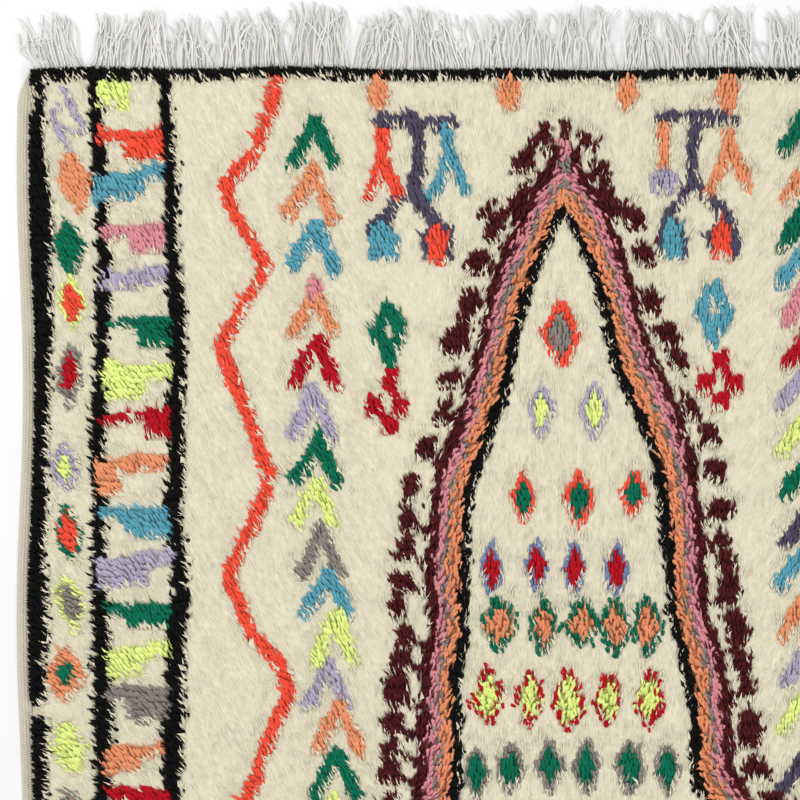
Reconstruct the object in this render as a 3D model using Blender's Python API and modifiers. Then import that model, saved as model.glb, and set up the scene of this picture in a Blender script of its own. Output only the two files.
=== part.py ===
"""A shaggy hand-knotted wool rug: the knotted cloth, its two woven side edges and its two warp fringes.

Metres, +Z up. The rug lies flat on the plane z = 0 with its middle on the origin, its length along Y
and its width along X.
"""

import math

import bmesh
import bpy

# Driving sizes of the rug
RUG_WIDTH = 1.520  # over both side edges
PILE_LENGTH = 2.370  # end to end of the knotted cloth
FRINGE_LENGTH = 0.085  # of the longest warp bundle
SIDE_WIDTH = 0.014  # of each woven side edge
PILE_TOP = 0.016  # upper face of the combed pile over the floor
SIDE_THICKNESS = 0.005
FRINGE_THICKNESS = 0.004
PIECE_GAP = 0.0003

# How the knotted cloth wanders from a true rectangle, always inwards
SIDE_WAVE_DEPTH = 0.009
SIDE_WAVE_PITCH = 0.640
SIDE_WAVE_CREST = {-1: 1.055, 1: 0.860}  # y of an outermost place, on the left side and on the right
END_WAVE_DEPTH = 0.007
END_WAVE_PITCH = 0.295
END_WAVE_SECOND = 0.62  # pitch of the slower wave, in shares of the rug's width

# The side edges run out towards the corners
CORNER_RUN = 0.045
CORNER_WIDTH = 0.004

# The pile slopes down to the edges of the weave
SHOULDER_WIDTH = 0.009
SHOULDER_STEPS = 3

# The warp ends hang together in bundles, which are the comb's teeth
BUNDLE_COUNT = 30
BUNDLE_ROOT_SHARE = 0.86  # of the pitch, at the foot of a tooth
BUNDLE_TIP_SHARE = 0.52
COMB_BACK = 0.006  # depth of the band that the teeth grow from
BUNDLE_LEAN = 0.010
BUNDLE_SHORTEST = 0.80  # of the longest one
LENGTH_TURN = 2.4  # radians from bundle to bundle, in the wave that their lengths follow
LEAN_TURN = 1.1  # the same for their lean
END_SHIFT = 1.3  # radians between that wave at the top and at the bottom, halved

# How finely the outlines are cut
SIDE_POINTS = 74
END_POINTS = 48
CORNER_POINTS = 4
WELD_DISTANCE = 1e-5

HALF_LENGTH = PILE_LENGTH / 2
HALF_PILE = RUG_WIDTH / 2 - SIDE_WIDTH - PIECE_GAP


def side_wave(y, side):
    """How far a side stands in from its true line at y. side is -1 at the left and 1 at the right."""
    turn = 2 * math.pi * (y - SIDE_WAVE_CREST[side]) / SIDE_WAVE_PITCH
    return SIDE_WAVE_DEPTH * (1 - math.cos(turn)) / 2


def end_wave(x, end):
    """How far an end stands in from its true line at x. end is 1 at the top and -1 below."""
    quick = math.sin(2 * math.pi * end * x / END_WAVE_PITCH)
    slow = math.cos(2 * math.pi * x / (END_WAVE_SECOND * RUG_WIDTH))
    return END_WAVE_DEPTH * (2 + quick + slow) / 4


def steps(low, high, count):
    """Count + 1 evenly spaced values from low to high."""
    return [low + (high - low) * i / count for i in range(count + 1)]


def pile_side(y, side, inset=0.0):
    """x of the knotted cloth's side at y, moved in by inset."""
    return side * (HALF_PILE - side_wave(y, side) - inset)


def pile_end(x, end, outset=0.0):
    """y of the knotted cloth's end at x, moved out by outset."""
    return end * (HALF_LENGTH - end_wave(x, end) + outset)


def corner(side, end):
    """The place where a side and an end of the knotted cloth meet."""
    x = side * HALF_PILE
    for _ in range(4):
        y = pile_end(x, end)
        x = pile_side(y, side)
    return x, y


def cloth_outline():
    """The knotted cloth's outline, anticlockwise from its lower left corner."""
    low_left, low_right = corner(-1, -1), corner(1, -1)
    top_right, top_left = corner(1, 1), corner(-1, 1)
    ring = [(x, pile_end(x, -1)) for x in steps(low_left[0], low_right[0], END_POINTS)[:-1]]
    ring += [(pile_side(y, 1), y) for y in steps(low_right[1], top_right[1], SIDE_POINTS)[:-1]]
    ring += [(x, pile_end(x, 1)) for x in steps(top_right[0], top_left[0], END_POINTS)[:-1]]
    ring += [(pile_side(y, -1), y) for y in steps(top_left[1], low_left[1], SIDE_POINTS)[:-1]]
    return ring


def side_edge_width(y, low, high):
    """Width of a woven side edge at y: full along the rug, running out to CORNER_WIDTH at both corners."""
    run = min(1.0, (y - low) / CORNER_RUN, (high - y) / CORNER_RUN)
    return CORNER_WIDTH + (SIDE_WIDTH - CORNER_WIDTH) * math.sin(math.pi / 2 * run)


def side_edge_outline(side):
    """A side edge's outline: up along the knotted cloth and back down its outer line."""
    low, high = corner(side, -1)[1], corner(side, 1)[1]
    along = steps(low, low + CORNER_RUN, CORNER_POINTS)[:-1]
    along += steps(low + CORNER_RUN, high - CORNER_RUN, SIDE_POINTS)
    along += steps(high - CORNER_RUN, high, CORNER_POINTS)[1:]
    inner = [(pile_side(y, side, -PIECE_GAP), y) for y in along]
    outer = [(x + side * side_edge_width(y, low, high), y) for x, y in inner]
    return inner + outer[::-1]


def bundle_length(index, end):
    """Length of one warp bundle, which varies along the fringe."""
    share = 0.5 + 0.5 * math.sin(LENGTH_TURN * index + END_SHIFT * end)
    return FRINGE_LENGTH * (BUNDLE_SHORTEST + (1 - BUNDLE_SHORTEST) * share)


def bundle_lean(index, end):
    """How far the tip of one warp bundle leans along X."""
    return BUNDLE_LEAN * math.sin(LEAN_TURN * index + END_SHIFT * end)


def fringe_outline(end):
    """A comb: a narrow back along the cloth's end, and a leaning, tapering tooth for each warp bundle."""
    left, right = corner(-1, end)[0], corner(1, end)[0]
    pitch = (right - left) / BUNDLE_COUNT
    back = [(x, pile_end(x, end, PIECE_GAP)) for x in steps(left, right, END_POINTS)]
    teeth = []
    for index in range(BUNDLE_COUNT):
        middle = left + (index + 0.5) * pitch
        root = pile_end(middle, end, PIECE_GAP + COMB_BACK)
        tip = end * (HALF_LENGTH + PIECE_GAP + bundle_length(index, end))
        lean = bundle_lean(index, end)
        half_root = BUNDLE_ROOT_SHARE * pitch / 2
        half_tip = BUNDLE_TIP_SHARE * pitch / 2
        teeth += [
            (middle - half_root, root),
            (middle - (half_root + half_tip) / 2 + lean / 3, (root + tip) / 2),
            (middle - half_tip + lean, tip),
            (middle + half_tip + lean, tip),
            (middle + (half_root + half_tip) / 2 + lean / 3, (root + tip) / 2),
            (middle + half_root, root),
        ]
    first = (left, pile_end(left, end, PIECE_GAP + COMB_BACK))
    last = (right, pile_end(right, end, PIECE_GAP + COMB_BACK))
    return [*back, last, *reversed(teeth), first]


def material(name, colour, roughness):
    """A plain Principled material."""
    made = bpy.data.materials.new(name)
    made.use_nodes = True
    shader = made.node_tree.nodes["Principled BSDF"]
    shader.inputs["Base Color"].default_value = (*colour, 1.0)
    shader.inputs["Roughness"].default_value = roughness
    shader.inputs["Metallic"].default_value = 0.0
    return made


def flat_piece(name, outline, thickness, finish, collection):
    """A flat outline as a filled 2D curve, extruded to its thickness, with its lower face on the floor."""
    curve = bpy.data.curves.new(name, "CURVE")
    curve.dimensions = "2D"
    curve.fill_mode = "BOTH"
    curve.extrude = thickness / 2
    spline = curve.splines.new("POLY")
    spline.points.add(len(outline) - 1)
    for point, (x, y) in zip(spline.points, outline):
        point.co = (x, y, 0.0, 1.0)
    spline.use_cyclic_u = True
    curve.materials.append(finish)
    piece = bpy.data.objects.new(name, curve)
    piece.location.z = thickness / 2
    collection.objects.link(piece)
    return piece


def as_mesh(piece, collection):
    """The same piece as a mesh with its faces welded, because a curve takes no edge bevel."""
    bpy.context.view_layer.update()
    evaluated = piece.evaluated_get(bpy.context.evaluated_depsgraph_get())
    name, place = piece.name, piece.matrix_world.copy()
    data = bpy.data.meshes.new_from_object(evaluated)
    shape = bmesh.new()
    shape.from_mesh(data)
    bmesh.ops.remove_doubles(shape, verts=shape.verts, dist=WELD_DISTANCE)
    shape.to_mesh(data)
    shape.free()
    bpy.data.objects.remove(piece)
    made = bpy.data.objects.new(name, data)
    made.matrix_world = place
    collection.objects.link(made)
    return made


def slope_the_pile(piece):
    """Rounds the rim of the upper face, where the pile slopes down to the weave."""
    shape = bmesh.new()
    shape.from_mesh(piece.data)
    weight = shape.edges.layers.float.new("bevel_weight_edge")
    top = max(vert.co.z for vert in shape.verts)
    for edge in shape.edges:
        meets_wall = any(abs(face.normal.z) < 0.5 for face in edge.link_faces)
        on_top = all(top - vert.co.z < WELD_DISTANCE for vert in edge.verts)
        edge[weight] = 1.0 if on_top and meets_wall else 0.0
    shape.to_mesh(piece.data)
    shape.free()
    shoulder = piece.modifiers.new("Pile shoulder", "BEVEL")
    shoulder.limit_method = "WEIGHT"
    shoulder.width = SHOULDER_WIDTH
    shoulder.segments = SHOULDER_STEPS
    shoulder.use_clamp_overlap = False


def clear_scene():
    """Removes every object of the scene."""
    for thing in list(bpy.data.objects):
        bpy.data.objects.remove(thing, do_unlink=True)


def build():
    """Builds the five pieces of the rug."""
    clear_scene()
    rug = bpy.data.collections.new("Tulu rug")
    bpy.context.scene.collection.children.link(rug)
    wool = material("Undyed wool pile", (0.76, 0.69, 0.54), 0.95)
    edging = material("Side edge wool", (0.66, 0.61, 0.48), 0.9)
    warp = material("Cotton warp ends", (0.83, 0.81, 0.75), 0.85)

    cloth = flat_piece("knotted_cloth", cloth_outline(), PILE_TOP, wool, rug)
    slope_the_pile(as_mesh(cloth, rug))
    for name, side in (("side_edge_left", -1), ("side_edge_right", 1)):
        flat_piece(name, side_edge_outline(side), SIDE_THICKNESS, edging, rug)
    for name, end in (("fringe_top", 1), ("fringe_bottom", -1)):
        flat_piece(name, fringe_outline(end), FRINGE_THICKNESS, warp, rug)


build()
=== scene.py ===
"""Looks of a shaggy hand-knotted wool rug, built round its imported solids.

Metres, +Z up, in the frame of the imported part: the rug lies on z = 0 with its middle on the origin, its
length along Y and its width along X. The pile is real locks of wool, knotted row by row from a chart of
the rug's pattern. The chart's tables are in millimetres, across from the rug's middle line and down from
the top edge of the pile.
"""

from __future__ import annotations

import logging
import math
from collections.abc import Iterable
from dataclasses import dataclass, field, replace
from enum import Enum, IntEnum

import bpy
import numpy as np
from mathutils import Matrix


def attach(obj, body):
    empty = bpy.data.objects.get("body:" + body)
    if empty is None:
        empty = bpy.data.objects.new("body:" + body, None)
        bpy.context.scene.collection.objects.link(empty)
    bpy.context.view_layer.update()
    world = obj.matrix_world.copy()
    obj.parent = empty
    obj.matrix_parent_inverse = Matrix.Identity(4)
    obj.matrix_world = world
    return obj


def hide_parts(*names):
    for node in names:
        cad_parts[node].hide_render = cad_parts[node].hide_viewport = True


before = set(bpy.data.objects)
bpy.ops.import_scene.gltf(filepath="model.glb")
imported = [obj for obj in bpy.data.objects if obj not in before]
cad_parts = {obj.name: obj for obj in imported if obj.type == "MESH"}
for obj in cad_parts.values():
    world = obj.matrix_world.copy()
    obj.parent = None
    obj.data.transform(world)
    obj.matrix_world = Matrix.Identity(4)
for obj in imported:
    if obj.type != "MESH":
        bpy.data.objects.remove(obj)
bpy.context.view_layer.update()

log = logging.getLogger("tulu_rug")

BODY = "root"
MM = 0.001
TURN = 2 * math.pi
BAKE_MAP = "OFBake"  # the map that holds one cell for each lock
LOCK_MAP = "Lock"  # metres across and along each lock
Array = np.ndarray
Material = bpy.types.Material
Piece = bpy.types.Object
Socket = bpy.types.NodeSocket
Tree = bpy.types.NodeTree


class Slot(Enum):
    """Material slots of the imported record."""

    PILE = "wool_pile"
    EDGE = "side_edge_wool"
    WARP = "cotton_warp"


class Side(IntEnum):
    """The two long sides of the rug, as the sign of X."""

    LEFT = -1
    RIGHT = 1


class End(IntEnum):
    """The two short ends of the rug, as the sign of Y."""

    BOTTOM = -1
    TOP = 1


class Pile(IntEnum):
    """Kinds of pile, by how the wool is spun and how it lies."""

    FLEECE = 0
    FELT = 1
    SPUN = 2
    LOOPED = 3


class Yarn(Enum):
    """Dye lots of the wool: red, green and blue as sRGB shares, and the pile it is usually knotted in."""

    CREAM = (0.862, 0.832, 0.735, Pile.FLEECE)
    BLACK = (0.056, 0.053, 0.050, Pile.FELT)
    MAROON = (0.325, 0.100, 0.112, Pile.FELT)
    RED_ORANGE = (0.950, 0.330, 0.240, Pile.SPUN)
    CRIMSON = (0.735, 0.055, 0.120, Pile.SPUN)
    BLUE = (0.365, 0.645, 0.718, Pile.SPUN)
    SLATE_BLUE = (0.460, 0.530, 0.680, Pile.SPUN)
    SLATE = (0.325, 0.305, 0.385, Pile.SPUN)
    PINK = (0.862, 0.575, 0.605, Pile.SPUN)
    LAVENDER = (0.705, 0.676, 0.762, Pile.SPUN)
    GREEN = (0.000, 0.440, 0.325, Pile.SPUN)
    LIME = (0.900, 0.955, 0.570, Pile.SPUN)
    SALMON = (0.915, 0.600, 0.430, Pile.SPUN)
    GREY = (0.555, 0.530, 0.500, Pile.SPUN)

    @property
    def number(self) -> int:
        """Place of the yarn in the list of yarns."""
        return list(Yarn).index(self)

    @property
    def pile(self) -> Pile:
        """The pile that this yarn is usually knotted in."""
        return self.value[3]


def linear(srgb: Iterable[float]) -> Array:
    """Linear light shares of sRGB shares, by the sRGB curve.

    Args:
        srgb: shares from 0 to 1.

    Returns:
        The same colours as linear light.
    """
    share = np.asarray(list(srgb), float)
    return np.where(share <= 0.04045, share / 12.92, ((share + 0.055) / 1.055) ** 2.4)


def wander(x: Array, y: Array, pitch: float, depth: float, seed: int) -> Array:
    """A smooth hand-made unevenness: the sum of six plane sine waves, crossing at seeded angles.

    Args:
        x: places across.
        y: places along.
        pitch: usual wavelength; each wave's own is 0.7 to 1.5 times that.
        depth: usual height of the sum, which may reach about twice that.
        seed: picks the angles and starts.

    Returns:
        The unevenness at each place.
    """
    draw = np.random.default_rng(seed)
    count = 6
    total = np.zeros(np.broadcast(x, y).shape)
    for angle, start, stretch in zip(
        draw.uniform(0, TURN, count), draw.uniform(0, TURN, count), draw.uniform(0.7, 1.5, count)
    ):
        ahead = x * math.cos(angle) + y * math.sin(angle)
        total += np.sin(TURN * ahead / (pitch * stretch) + start)
    return depth * total / math.sqrt(count / 2)


def ramp(value: Array, low: float, high: float) -> Array:
    """0 below low, 1 above high and a smooth cubic step between them."""
    share = np.clip((value - low) / (high - low), 0, 1)
    return share * share * (3 - 2 * share)


@dataclass(frozen=True)
class Outline:
    """The rug's outline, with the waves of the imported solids."""

    width: float = 1.520
    pile_length: float = 2.370
    side_width: float = 0.014
    gap: float = 0.0003
    side_depth: float = 0.009
    side_pitch: float = 0.640
    left_crest: float = 1.055
    right_crest: float = 0.860
    end_depth: float = 0.007
    end_pitch: float = 0.295
    end_second: float = 0.62
    corner_run: float = 0.045
    corner_width: float = 0.004

    @property
    def half_length(self) -> float:
        """From the middle to an end of the pile."""
        return self.pile_length / 2

    @property
    def half_pile(self) -> float:
        """From the middle to a true side of the pile."""
        return self.width / 2 - self.side_width - self.gap

    def side(self, y: Array, side: Side) -> Array:
        """x of a side of the pile at y: the true line, less a cosine wave that only goes inwards.

        Args:
            y: places along.
            side: which long side.

        Returns:
            Places across.
        """
        crest = self.left_crest if side is Side.LEFT else self.right_crest
        wave = self.side_depth * (1 - np.cos(TURN * (y - crest) / self.side_pitch)) / 2
        return side * (self.half_pile - wave)

    def end(self, x: Array, end: End) -> Array:
        """y of an end of the pile at x: the true line, less a quick and a slow wave that only go inwards.

        Args:
            x: places across.
            end: which short side.

        Returns:
            Places along.
        """
        quick = np.sin(TURN * end * x / self.end_pitch)
        slow = np.cos(TURN * x / (self.end_second * self.width))
        return end * (self.half_length - self.end_depth * (2 + quick + slow) / 4)

    def corner(self, side: Side, end: End) -> tuple[float, float]:
        """The place where a side and an end of the pile meet, by repeated substitution.

        Args:
            side: which long side.
            end: which short side.

        Returns:
            Its x and y.
        """
        x = side * self.half_pile
        y = end * self.half_length
        for _ in range(4):
            y = float(self.end(x, end))
            x = float(self.side(y, side))
        return x, y

    def edge_width(self, y: Array, low: float, high: float) -> Array:
        """Width of a woven side edge at y: a quarter sine up from each corner, and full between them."""
        run = np.minimum(1.0, np.minimum(y - low, high - y) / self.corner_run)
        return self.corner_width + (self.side_width - self.corner_width) * np.sin(math.pi / 2 * run)

    def place(self, u: Array, v: Array) -> tuple[Array, Array]:
        """x and y of shares u across and v along the knotted cloth, between its waved sides and ends.

        Args:
            u: shares from the left.
            v: shares from the bottom.

        Returns:
            x and y of each.
        """
        y = (2 * v - 1) * self.half_length
        x = (1 - u) * self.side(y, Side.LEFT) + u * self.side(y, Side.RIGHT)
        return x, (1 - v) * self.end(x, End.BOTTOM) + v * self.end(x, End.TOP)


OUTLINE = Outline()


@dataclass
class Page:
    """Places on the rug that the chart is read at, and what it says there so far.

    x is across from the middle line and drop is down from the nearer end of the pile, in metres.
    """

    x: Array
    drop: Array
    yarn: Array = field(init=False)
    pile: Array = field(init=False)

    def __post_init__(self) -> None:
        """Starts as plain cream fleece."""
        self.yarn = np.full(self.x.shape, Yarn.CREAM.number)
        self.pile = np.full(self.x.shape, int(Pile.FLEECE))

    def within(self, left: float, right: float, top: float, bottom: float) -> Array:
        """Numbers of the places inside a box."""
        inside = (self.x > left) & (self.x < right) & (self.drop > top) & (self.drop < bottom)
        return np.flatnonzero(inside)

    def knot(self, where: Array, yarn: Yarn, pile: Pile | None = None) -> None:
        """Knots the places of these numbers in a yarn, in its usual pile unless another is given."""
        self.yarn[where] = yarn.number
        self.pile[where] = int(yarn.pile if pile is None else pile)


@dataclass(frozen=True)
class Lozenge:
    """A lozenge, in millimetres: outline knots round a heart, which may be of cream."""

    x: float
    drop: float
    half_width: float
    half_height: float
    yarn: Yarn
    heart: Yarn | None = None
    pile: Pile | None = None
    heart_share: float = 0.62
    roundness: float = 1.2  # 1 is a true lozenge and 2 an ellipse
    slant: float = 0.0  # how far its middle line runs across for each millimetre down

    def flipped(self) -> Lozenge:
        """The same on the other side of the middle line."""
        return replace(self, x=-self.x, slant=-self.slant)

    def paint(self, page: Page) -> None:
        """Knots where (across share)^roundness + (down share)^roundness is below 1, the heart nearer in.

        Args:
            page: what the knots go into.
        """
        half_width, half_height = self.half_width * MM, self.half_height * MM
        x, drop = self.x * MM, self.drop * MM
        reach_x = half_width + abs(self.slant) * half_height
        near = page.within(x - reach_x, x + reach_x, drop - half_height, drop + half_height)
        across = np.abs(page.x[near] - x - self.slant * (page.drop[near] - drop)) / half_width
        down = np.abs(page.drop[near] - drop) / half_height
        reach = across**self.roundness + down**self.roundness
        page.knot(near[reach < 1], self.yarn, self.pile)
        if self.heart is not None:
            pile = None if self.heart is Yarn.CREAM else self.pile
            page.knot(near[reach < self.heart_share**self.roundness], self.heart, pile)


@dataclass(frozen=True)
class Stroke:
    """A line of knots through points (across, drop) in millimetres."""

    points: tuple[tuple[float, float], ...]
    width: float
    yarn: Yarn
    pile: Pile | None = None

    def flipped(self) -> Stroke:
        """The same on the other side of the middle line."""
        return replace(self, points=tuple((-x, drop) for x, drop in self.points))

    def paint(self, page: Page) -> None:
        """Knots where the distance to the nearest stretch of the line is below half the width.

        Args:
            page: what the knots go into.
        """
        line = np.array(self.points) * MM
        half = self.width * MM / 2
        low, high = line.min(0) - half, line.max(0) + half
        near = page.within(low[0], high[0], low[1], high[1])
        x, drop = page.x[near], page.drop[near]
        nearest = np.full(near.shape, np.inf)
        for (x0, drop0), (x1, drop1) in zip(line[:-1], line[1:]):
            run_x, run_drop = x1 - x0, drop1 - drop0
            share = ((x - x0) * run_x + (drop - drop0) * run_drop) / (run_x**2 + run_drop**2)
            share = np.clip(share, 0, 1)
            gap = np.hypot(x - x0 - share * run_x, drop - drop0 - share * run_drop)
            nearest = np.minimum(nearest, gap)
        page.knot(near[nearest < half], self.yarn, self.pile)


@dataclass(frozen=True)
class Block:
    """A four-sided block of knots in millimetres. top is the drop of its upper edge at its left end."""

    left: float
    right: float
    top: float
    height: float
    slope: float
    yarn: Yarn

    def flipped(self) -> Block:
        """The same on the other side of the middle line."""
        top = self.top + self.slope * (self.right - self.left)
        return replace(self, left=-self.right, right=-self.left, top=top, slope=-self.slope)

    def paint(self, page: Page) -> None:
        """Knots between left and right, and within the height below a sloping upper edge.

        Args:
            page: what the knots go into.
        """
        fall = abs(self.slope) * (self.right - self.left)
        near = page.within(
            self.left * MM,
            self.right * MM,
            (self.top - fall) * MM,
            (self.top + self.height + fall) * MM,
        )
        below = page.drop[near] - self.top * MM - self.slope * (page.x[near] - self.left * MM)
        page.knot(near[(below > 0) & (below < self.height * MM)], self.yarn)


@dataclass(frozen=True)
class Line:
    """A line of knots down the rug: rows of drop, left edge and right edge, in millimetres."""

    edges: tuple[tuple[float, float, float], ...]
    yarn: Yarn
    gap: tuple[float, float] = (0, 0)  # drops between which it is left out

    def flipped(self) -> Line:
        """The same on the other side of the middle line."""
        return replace(self, edges=tuple((drop, -right, -left) for drop, left, right in self.edges))

    def paint(self, page: Page) -> None:
        """Knots between the two edges, each read off between its rows.

        Args:
            page: what the knots go into.
        """
        drops, left, right = (np.array(column) * MM for column in zip(*self.edges))
        inside = (page.x > np.interp(page.drop, drops, left)) & (page.x < np.interp(page.drop, drops, right))
        skipped = (page.drop > self.gap[0] * MM) & (page.drop < self.gap[1] * MM)
        page.knot(np.flatnonzero(inside & ~skipped), self.yarn)


Motif = Lozenge | Stroke | Block | Line


@dataclass(frozen=True)
class Medallion:
    """The tall stepped medallion: bands of yarn along a line that opens out from its top, and its hooks.

    The tables give half the width of the black band's middle line against the drop, in millimetres, on
    the left and on the right of the middle line.
    """

    left_line: tuple[tuple[float, float], ...] = (
        (182, 0), (200, 14), (249, 36), (305, 55), (389, 77), (445, 88), (473, 97), (557, 129), (613, 139),
        (697, 145), (781, 141), (837, 153), (977, 155), (1019, 160), (1060, 200), (1110, 240), (1185, 250),
    )
    right_line: tuple[tuple[float, float], ...] = (
        (182, 0), (200, 14), (249, 36), (305, 54), (361, 66), (417, 84), (501, 122), (529, 132), (557, 137),
        (641, 147), (753, 156), (837, 178), (893, 186), (977, 190), (1005, 202), (1060, 242), (1110, 262),
        (1185, 268),
    )
    apex_slope: float = 0.56
    bands: tuple[tuple[float, Yarn, Pile], ...] = (
        (5.5, Yarn.BLACK, Pile.FELT),
        (19.0, Yarn.SALMON, Pile.LOOPED),
        (24.5, Yarn.GREY, Pile.LOOPED),
        (35.5, Yarn.PINK, Pile.LOOPED),
        (49.5, Yarn.MAROON, Pile.FELT),
    )  # outer edge of each, from the black band's middle line
    black_half: float = 9.0
    apex_round: float = 8.5
    cross_lean: float = 11.0  # degrees that the wool leans inwards across the bands
    spikes: tuple[tuple[tuple[float, float], float, Yarn, Pile], ...] = (
        ((66, 92), 15, Yarn.MAROON, Pile.FELT),
        ((99, 110), 17, Yarn.PINK, Pile.LOOPED),
        ((123, 131), 12, Yarn.GREY, Pile.LOOPED),
    )  # drops, width, yarn and pile of the points over the top
    arm_width: float = 12.5
    knob_share: float = 1.35  # of the power sum inside a knob
    knob_power: float = 2.6
    knob_window: float = 60.0  # up and down from a knob, past which its hook never reaches
    arm_root: float = 8.0  # how far inside the bands' outer edge an arm ends
    arm_fall: tuple[float, float] = (0.3, 1.1)  # of an arm at its knob, and more to its root, in half heights
    slope_step: float = 12.0
    # drop and reach of each hook's knob, its half sizes across and down, and whether an arm joins it
    left_hooks: tuple[tuple[float, float, float, float, bool], ...] = (
        (93, 76, 9, 16, True), (125, 77, 10, 15, True), (177, 59, 8, 23, True), (189, 84, 8, 9, False),
        (215, 68, 10, 20, False), (262, 73, 15, 15, True), (325, 70, 14, 22, False),
        (372, 76, 15, 21, False), (424, 70, 15, 15, False), (476, 67, 9, 17, True),
        (522, 71, 10, 15, True), (580, 80, 10, 20, False), (626, 79, 12, 15, True),
        (667, 79, 12, 15, True), (710, 81, 14, 13, True), (743, 87, 11, 15, False),
        (780, 80, 10, 15, True), (818, 77, 14, 15, True), (862, 80, 15, 21, True),
        (911, 82, 16, 15, True), (943, 90, 13, 13, True), (976, 90, 15, 15, True),
        (1022, 75, 13, 15, True), (1066, 76, 14, 17, False), (1110, 80, 14, 16, True),
        (1156, 80, 14, 17, False),
    )
    right_hooks: tuple[tuple[float, float, float, float, bool], ...] = (
        (93, 72, 9, 15, True), (130, 71, 9, 14, True), (175, 58, 11, 21, True), (199, 72, 12, 20, False),
        (253, 71, 12, 14, False), (318, 66, 11, 19, False), (366, 73, 15, 16, False),
        (403, 76, 13, 14, False), (462, 67, 9, 17, True), (505, 75, 11, 18, True),
        (556, 73, 13, 15, False), (611, 76, 16, 15, True), (652, 74, 12, 12, True),
        (684, 76, 13, 13, False), (720, 76, 13, 19, True), (772, 76, 14, 22, False),
        (816, 71, 13, 18, False), (854, 74, 10, 17, True), (916, 72, 15, 27, True),
        (975, 75, 16, 15, False), (1020, 72, 13, 16, True), (1066, 76, 14, 17, False),
        (1112, 78, 13, 16, True), (1158, 80, 14, 16, False),
    )

    def run(self, x: Array, drop: Array) -> tuple[Array, Array]:
        """Half the width of the black band's middle line, and its slope over a short stretch, at places.

        Above the top of the table the line goes on straight.

        Args:
            x: places across.
            drop: down from the end.

        Returns:
            Half the width, and its slope.
        """
        half, slope = np.zeros(x.shape), np.zeros(x.shape)
        step = self.slope_step * MM
        for line, on_side in ((self.left_line, x < 0), (self.right_line, x >= 0)):
            drops, halves = (np.array(column) * MM for column in zip(*line))
            drops = np.concatenate([[drops[0] - 1.0], drops, [drops[-1] + 1.0]])
            halves = np.concatenate([[-self.apex_slope], halves, [halves[-1]]])
            above, here, below = (
                np.interp(drop[on_side] + shift, drops, halves) for shift in (-step, 0, step)
            )
            half[on_side] = here
            slope[on_side] = (below - above) / (2 * step)
        return half, slope

    def reach(self, x: Array, drop: Array) -> Array:
        """How far outside the black band's middle line each place is, square to the line.

        The distance from the middle line of the rug is root(x^2 + rounding^2), so the top is an arch.

        Args:
            x: places across.
            drop: down from the end.

        Returns:
            The distance, negative inside.
        """
        half, slope = self.run(x, drop)
        return (np.sqrt(x**2 + (self.apex_round * MM) ** 2) - half) / np.sqrt(1 + slope**2)

    def heading(self, x: Array, drop: Array) -> tuple[Array, Array]:
        """Heading of the wool along the bands, up towards the top, and how much it holds at each place.

        Args:
            x: places across.
            drop: down from the end.

        Returns:
            Radians, and a share from 0 to 1.
        """
        half, slope = self.run(x, drop)
        outside = (np.abs(x) - half) / MM
        hold = ramp(outside, -14, -6) * (1 - ramp(outside, 46, 60)) * ramp(drop, 0.10, 0.16)
        aside = x / np.sqrt(x**2 + (self.apex_round * MM) ** 2)
        return aside * (np.arctan(slope) + math.radians(self.cross_lean)), hold

    def paint_hooks(self, page: Page, reach: Array) -> None:
        """Knots the hooks: a rounded knob beside the band, often with an arm down to it.

        The knob is where (outward share)^2.6 + (down share)^2.6 is below 1. The arm is a slanting stroke
        that leaves the knob's lower half and meets the band further down.

        Args:
            page: what the knots go into.
            reach: how far outside the black band each place is.
        """
        start = self.bands[-1][0] - self.arm_root
        at_knob, to_root = self.arm_fall
        for hooks, side in ((self.left_hooks, -1), (self.right_hooks, 1)):
            for drop, out, half_out, half_down, joined in hooks:
                in_window = np.abs(page.drop - drop * MM) < self.knob_window * MM
                near = np.flatnonzero((page.x * side > 0) & in_window)
                outward = reach[near] / MM - out
                down = page.drop[near] / MM - drop
                sides = np.abs(outward) / half_out, np.abs(down) / half_down
                knot = sides[0] ** self.knob_power + sides[1] ** self.knob_power < self.knob_share
                if joined:
                    share = (out - reach[near] / MM) / (out - start)
                    arm = np.abs(down - (at_knob + to_root * share) * half_down) < self.arm_width / 2
                    knot |= arm & (share > 0) & (share < 1)
                page.knot(near[knot], Yarn.MAROON, Pile.FELT)

    def paint(self, page: Page) -> None:
        """Knots the hooks and then each band, with a small wave in their edges.

        Args:
            page: what the knots go into.
        """
        reach = self.reach(page.x, page.drop)
        bold = reach + wander(page.x, page.drop, 0.033, 1.3 * MM, 61)
        self.paint_hooks(page, reach)
        inner = [-self.black_half, *(outer for outer, _, _ in self.bands[:-1])]
        for low, (high, yarn, pile) in zip(inner, self.bands):
            page.knot(np.flatnonzero((bold > low * MM) & (bold < high * MM)), yarn, pile)
        for drops, width, yarn, pile in self.spikes:
            Stroke(tuple((-1, drop) for drop in drops), width, yarn, pile).paint(page)


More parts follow.
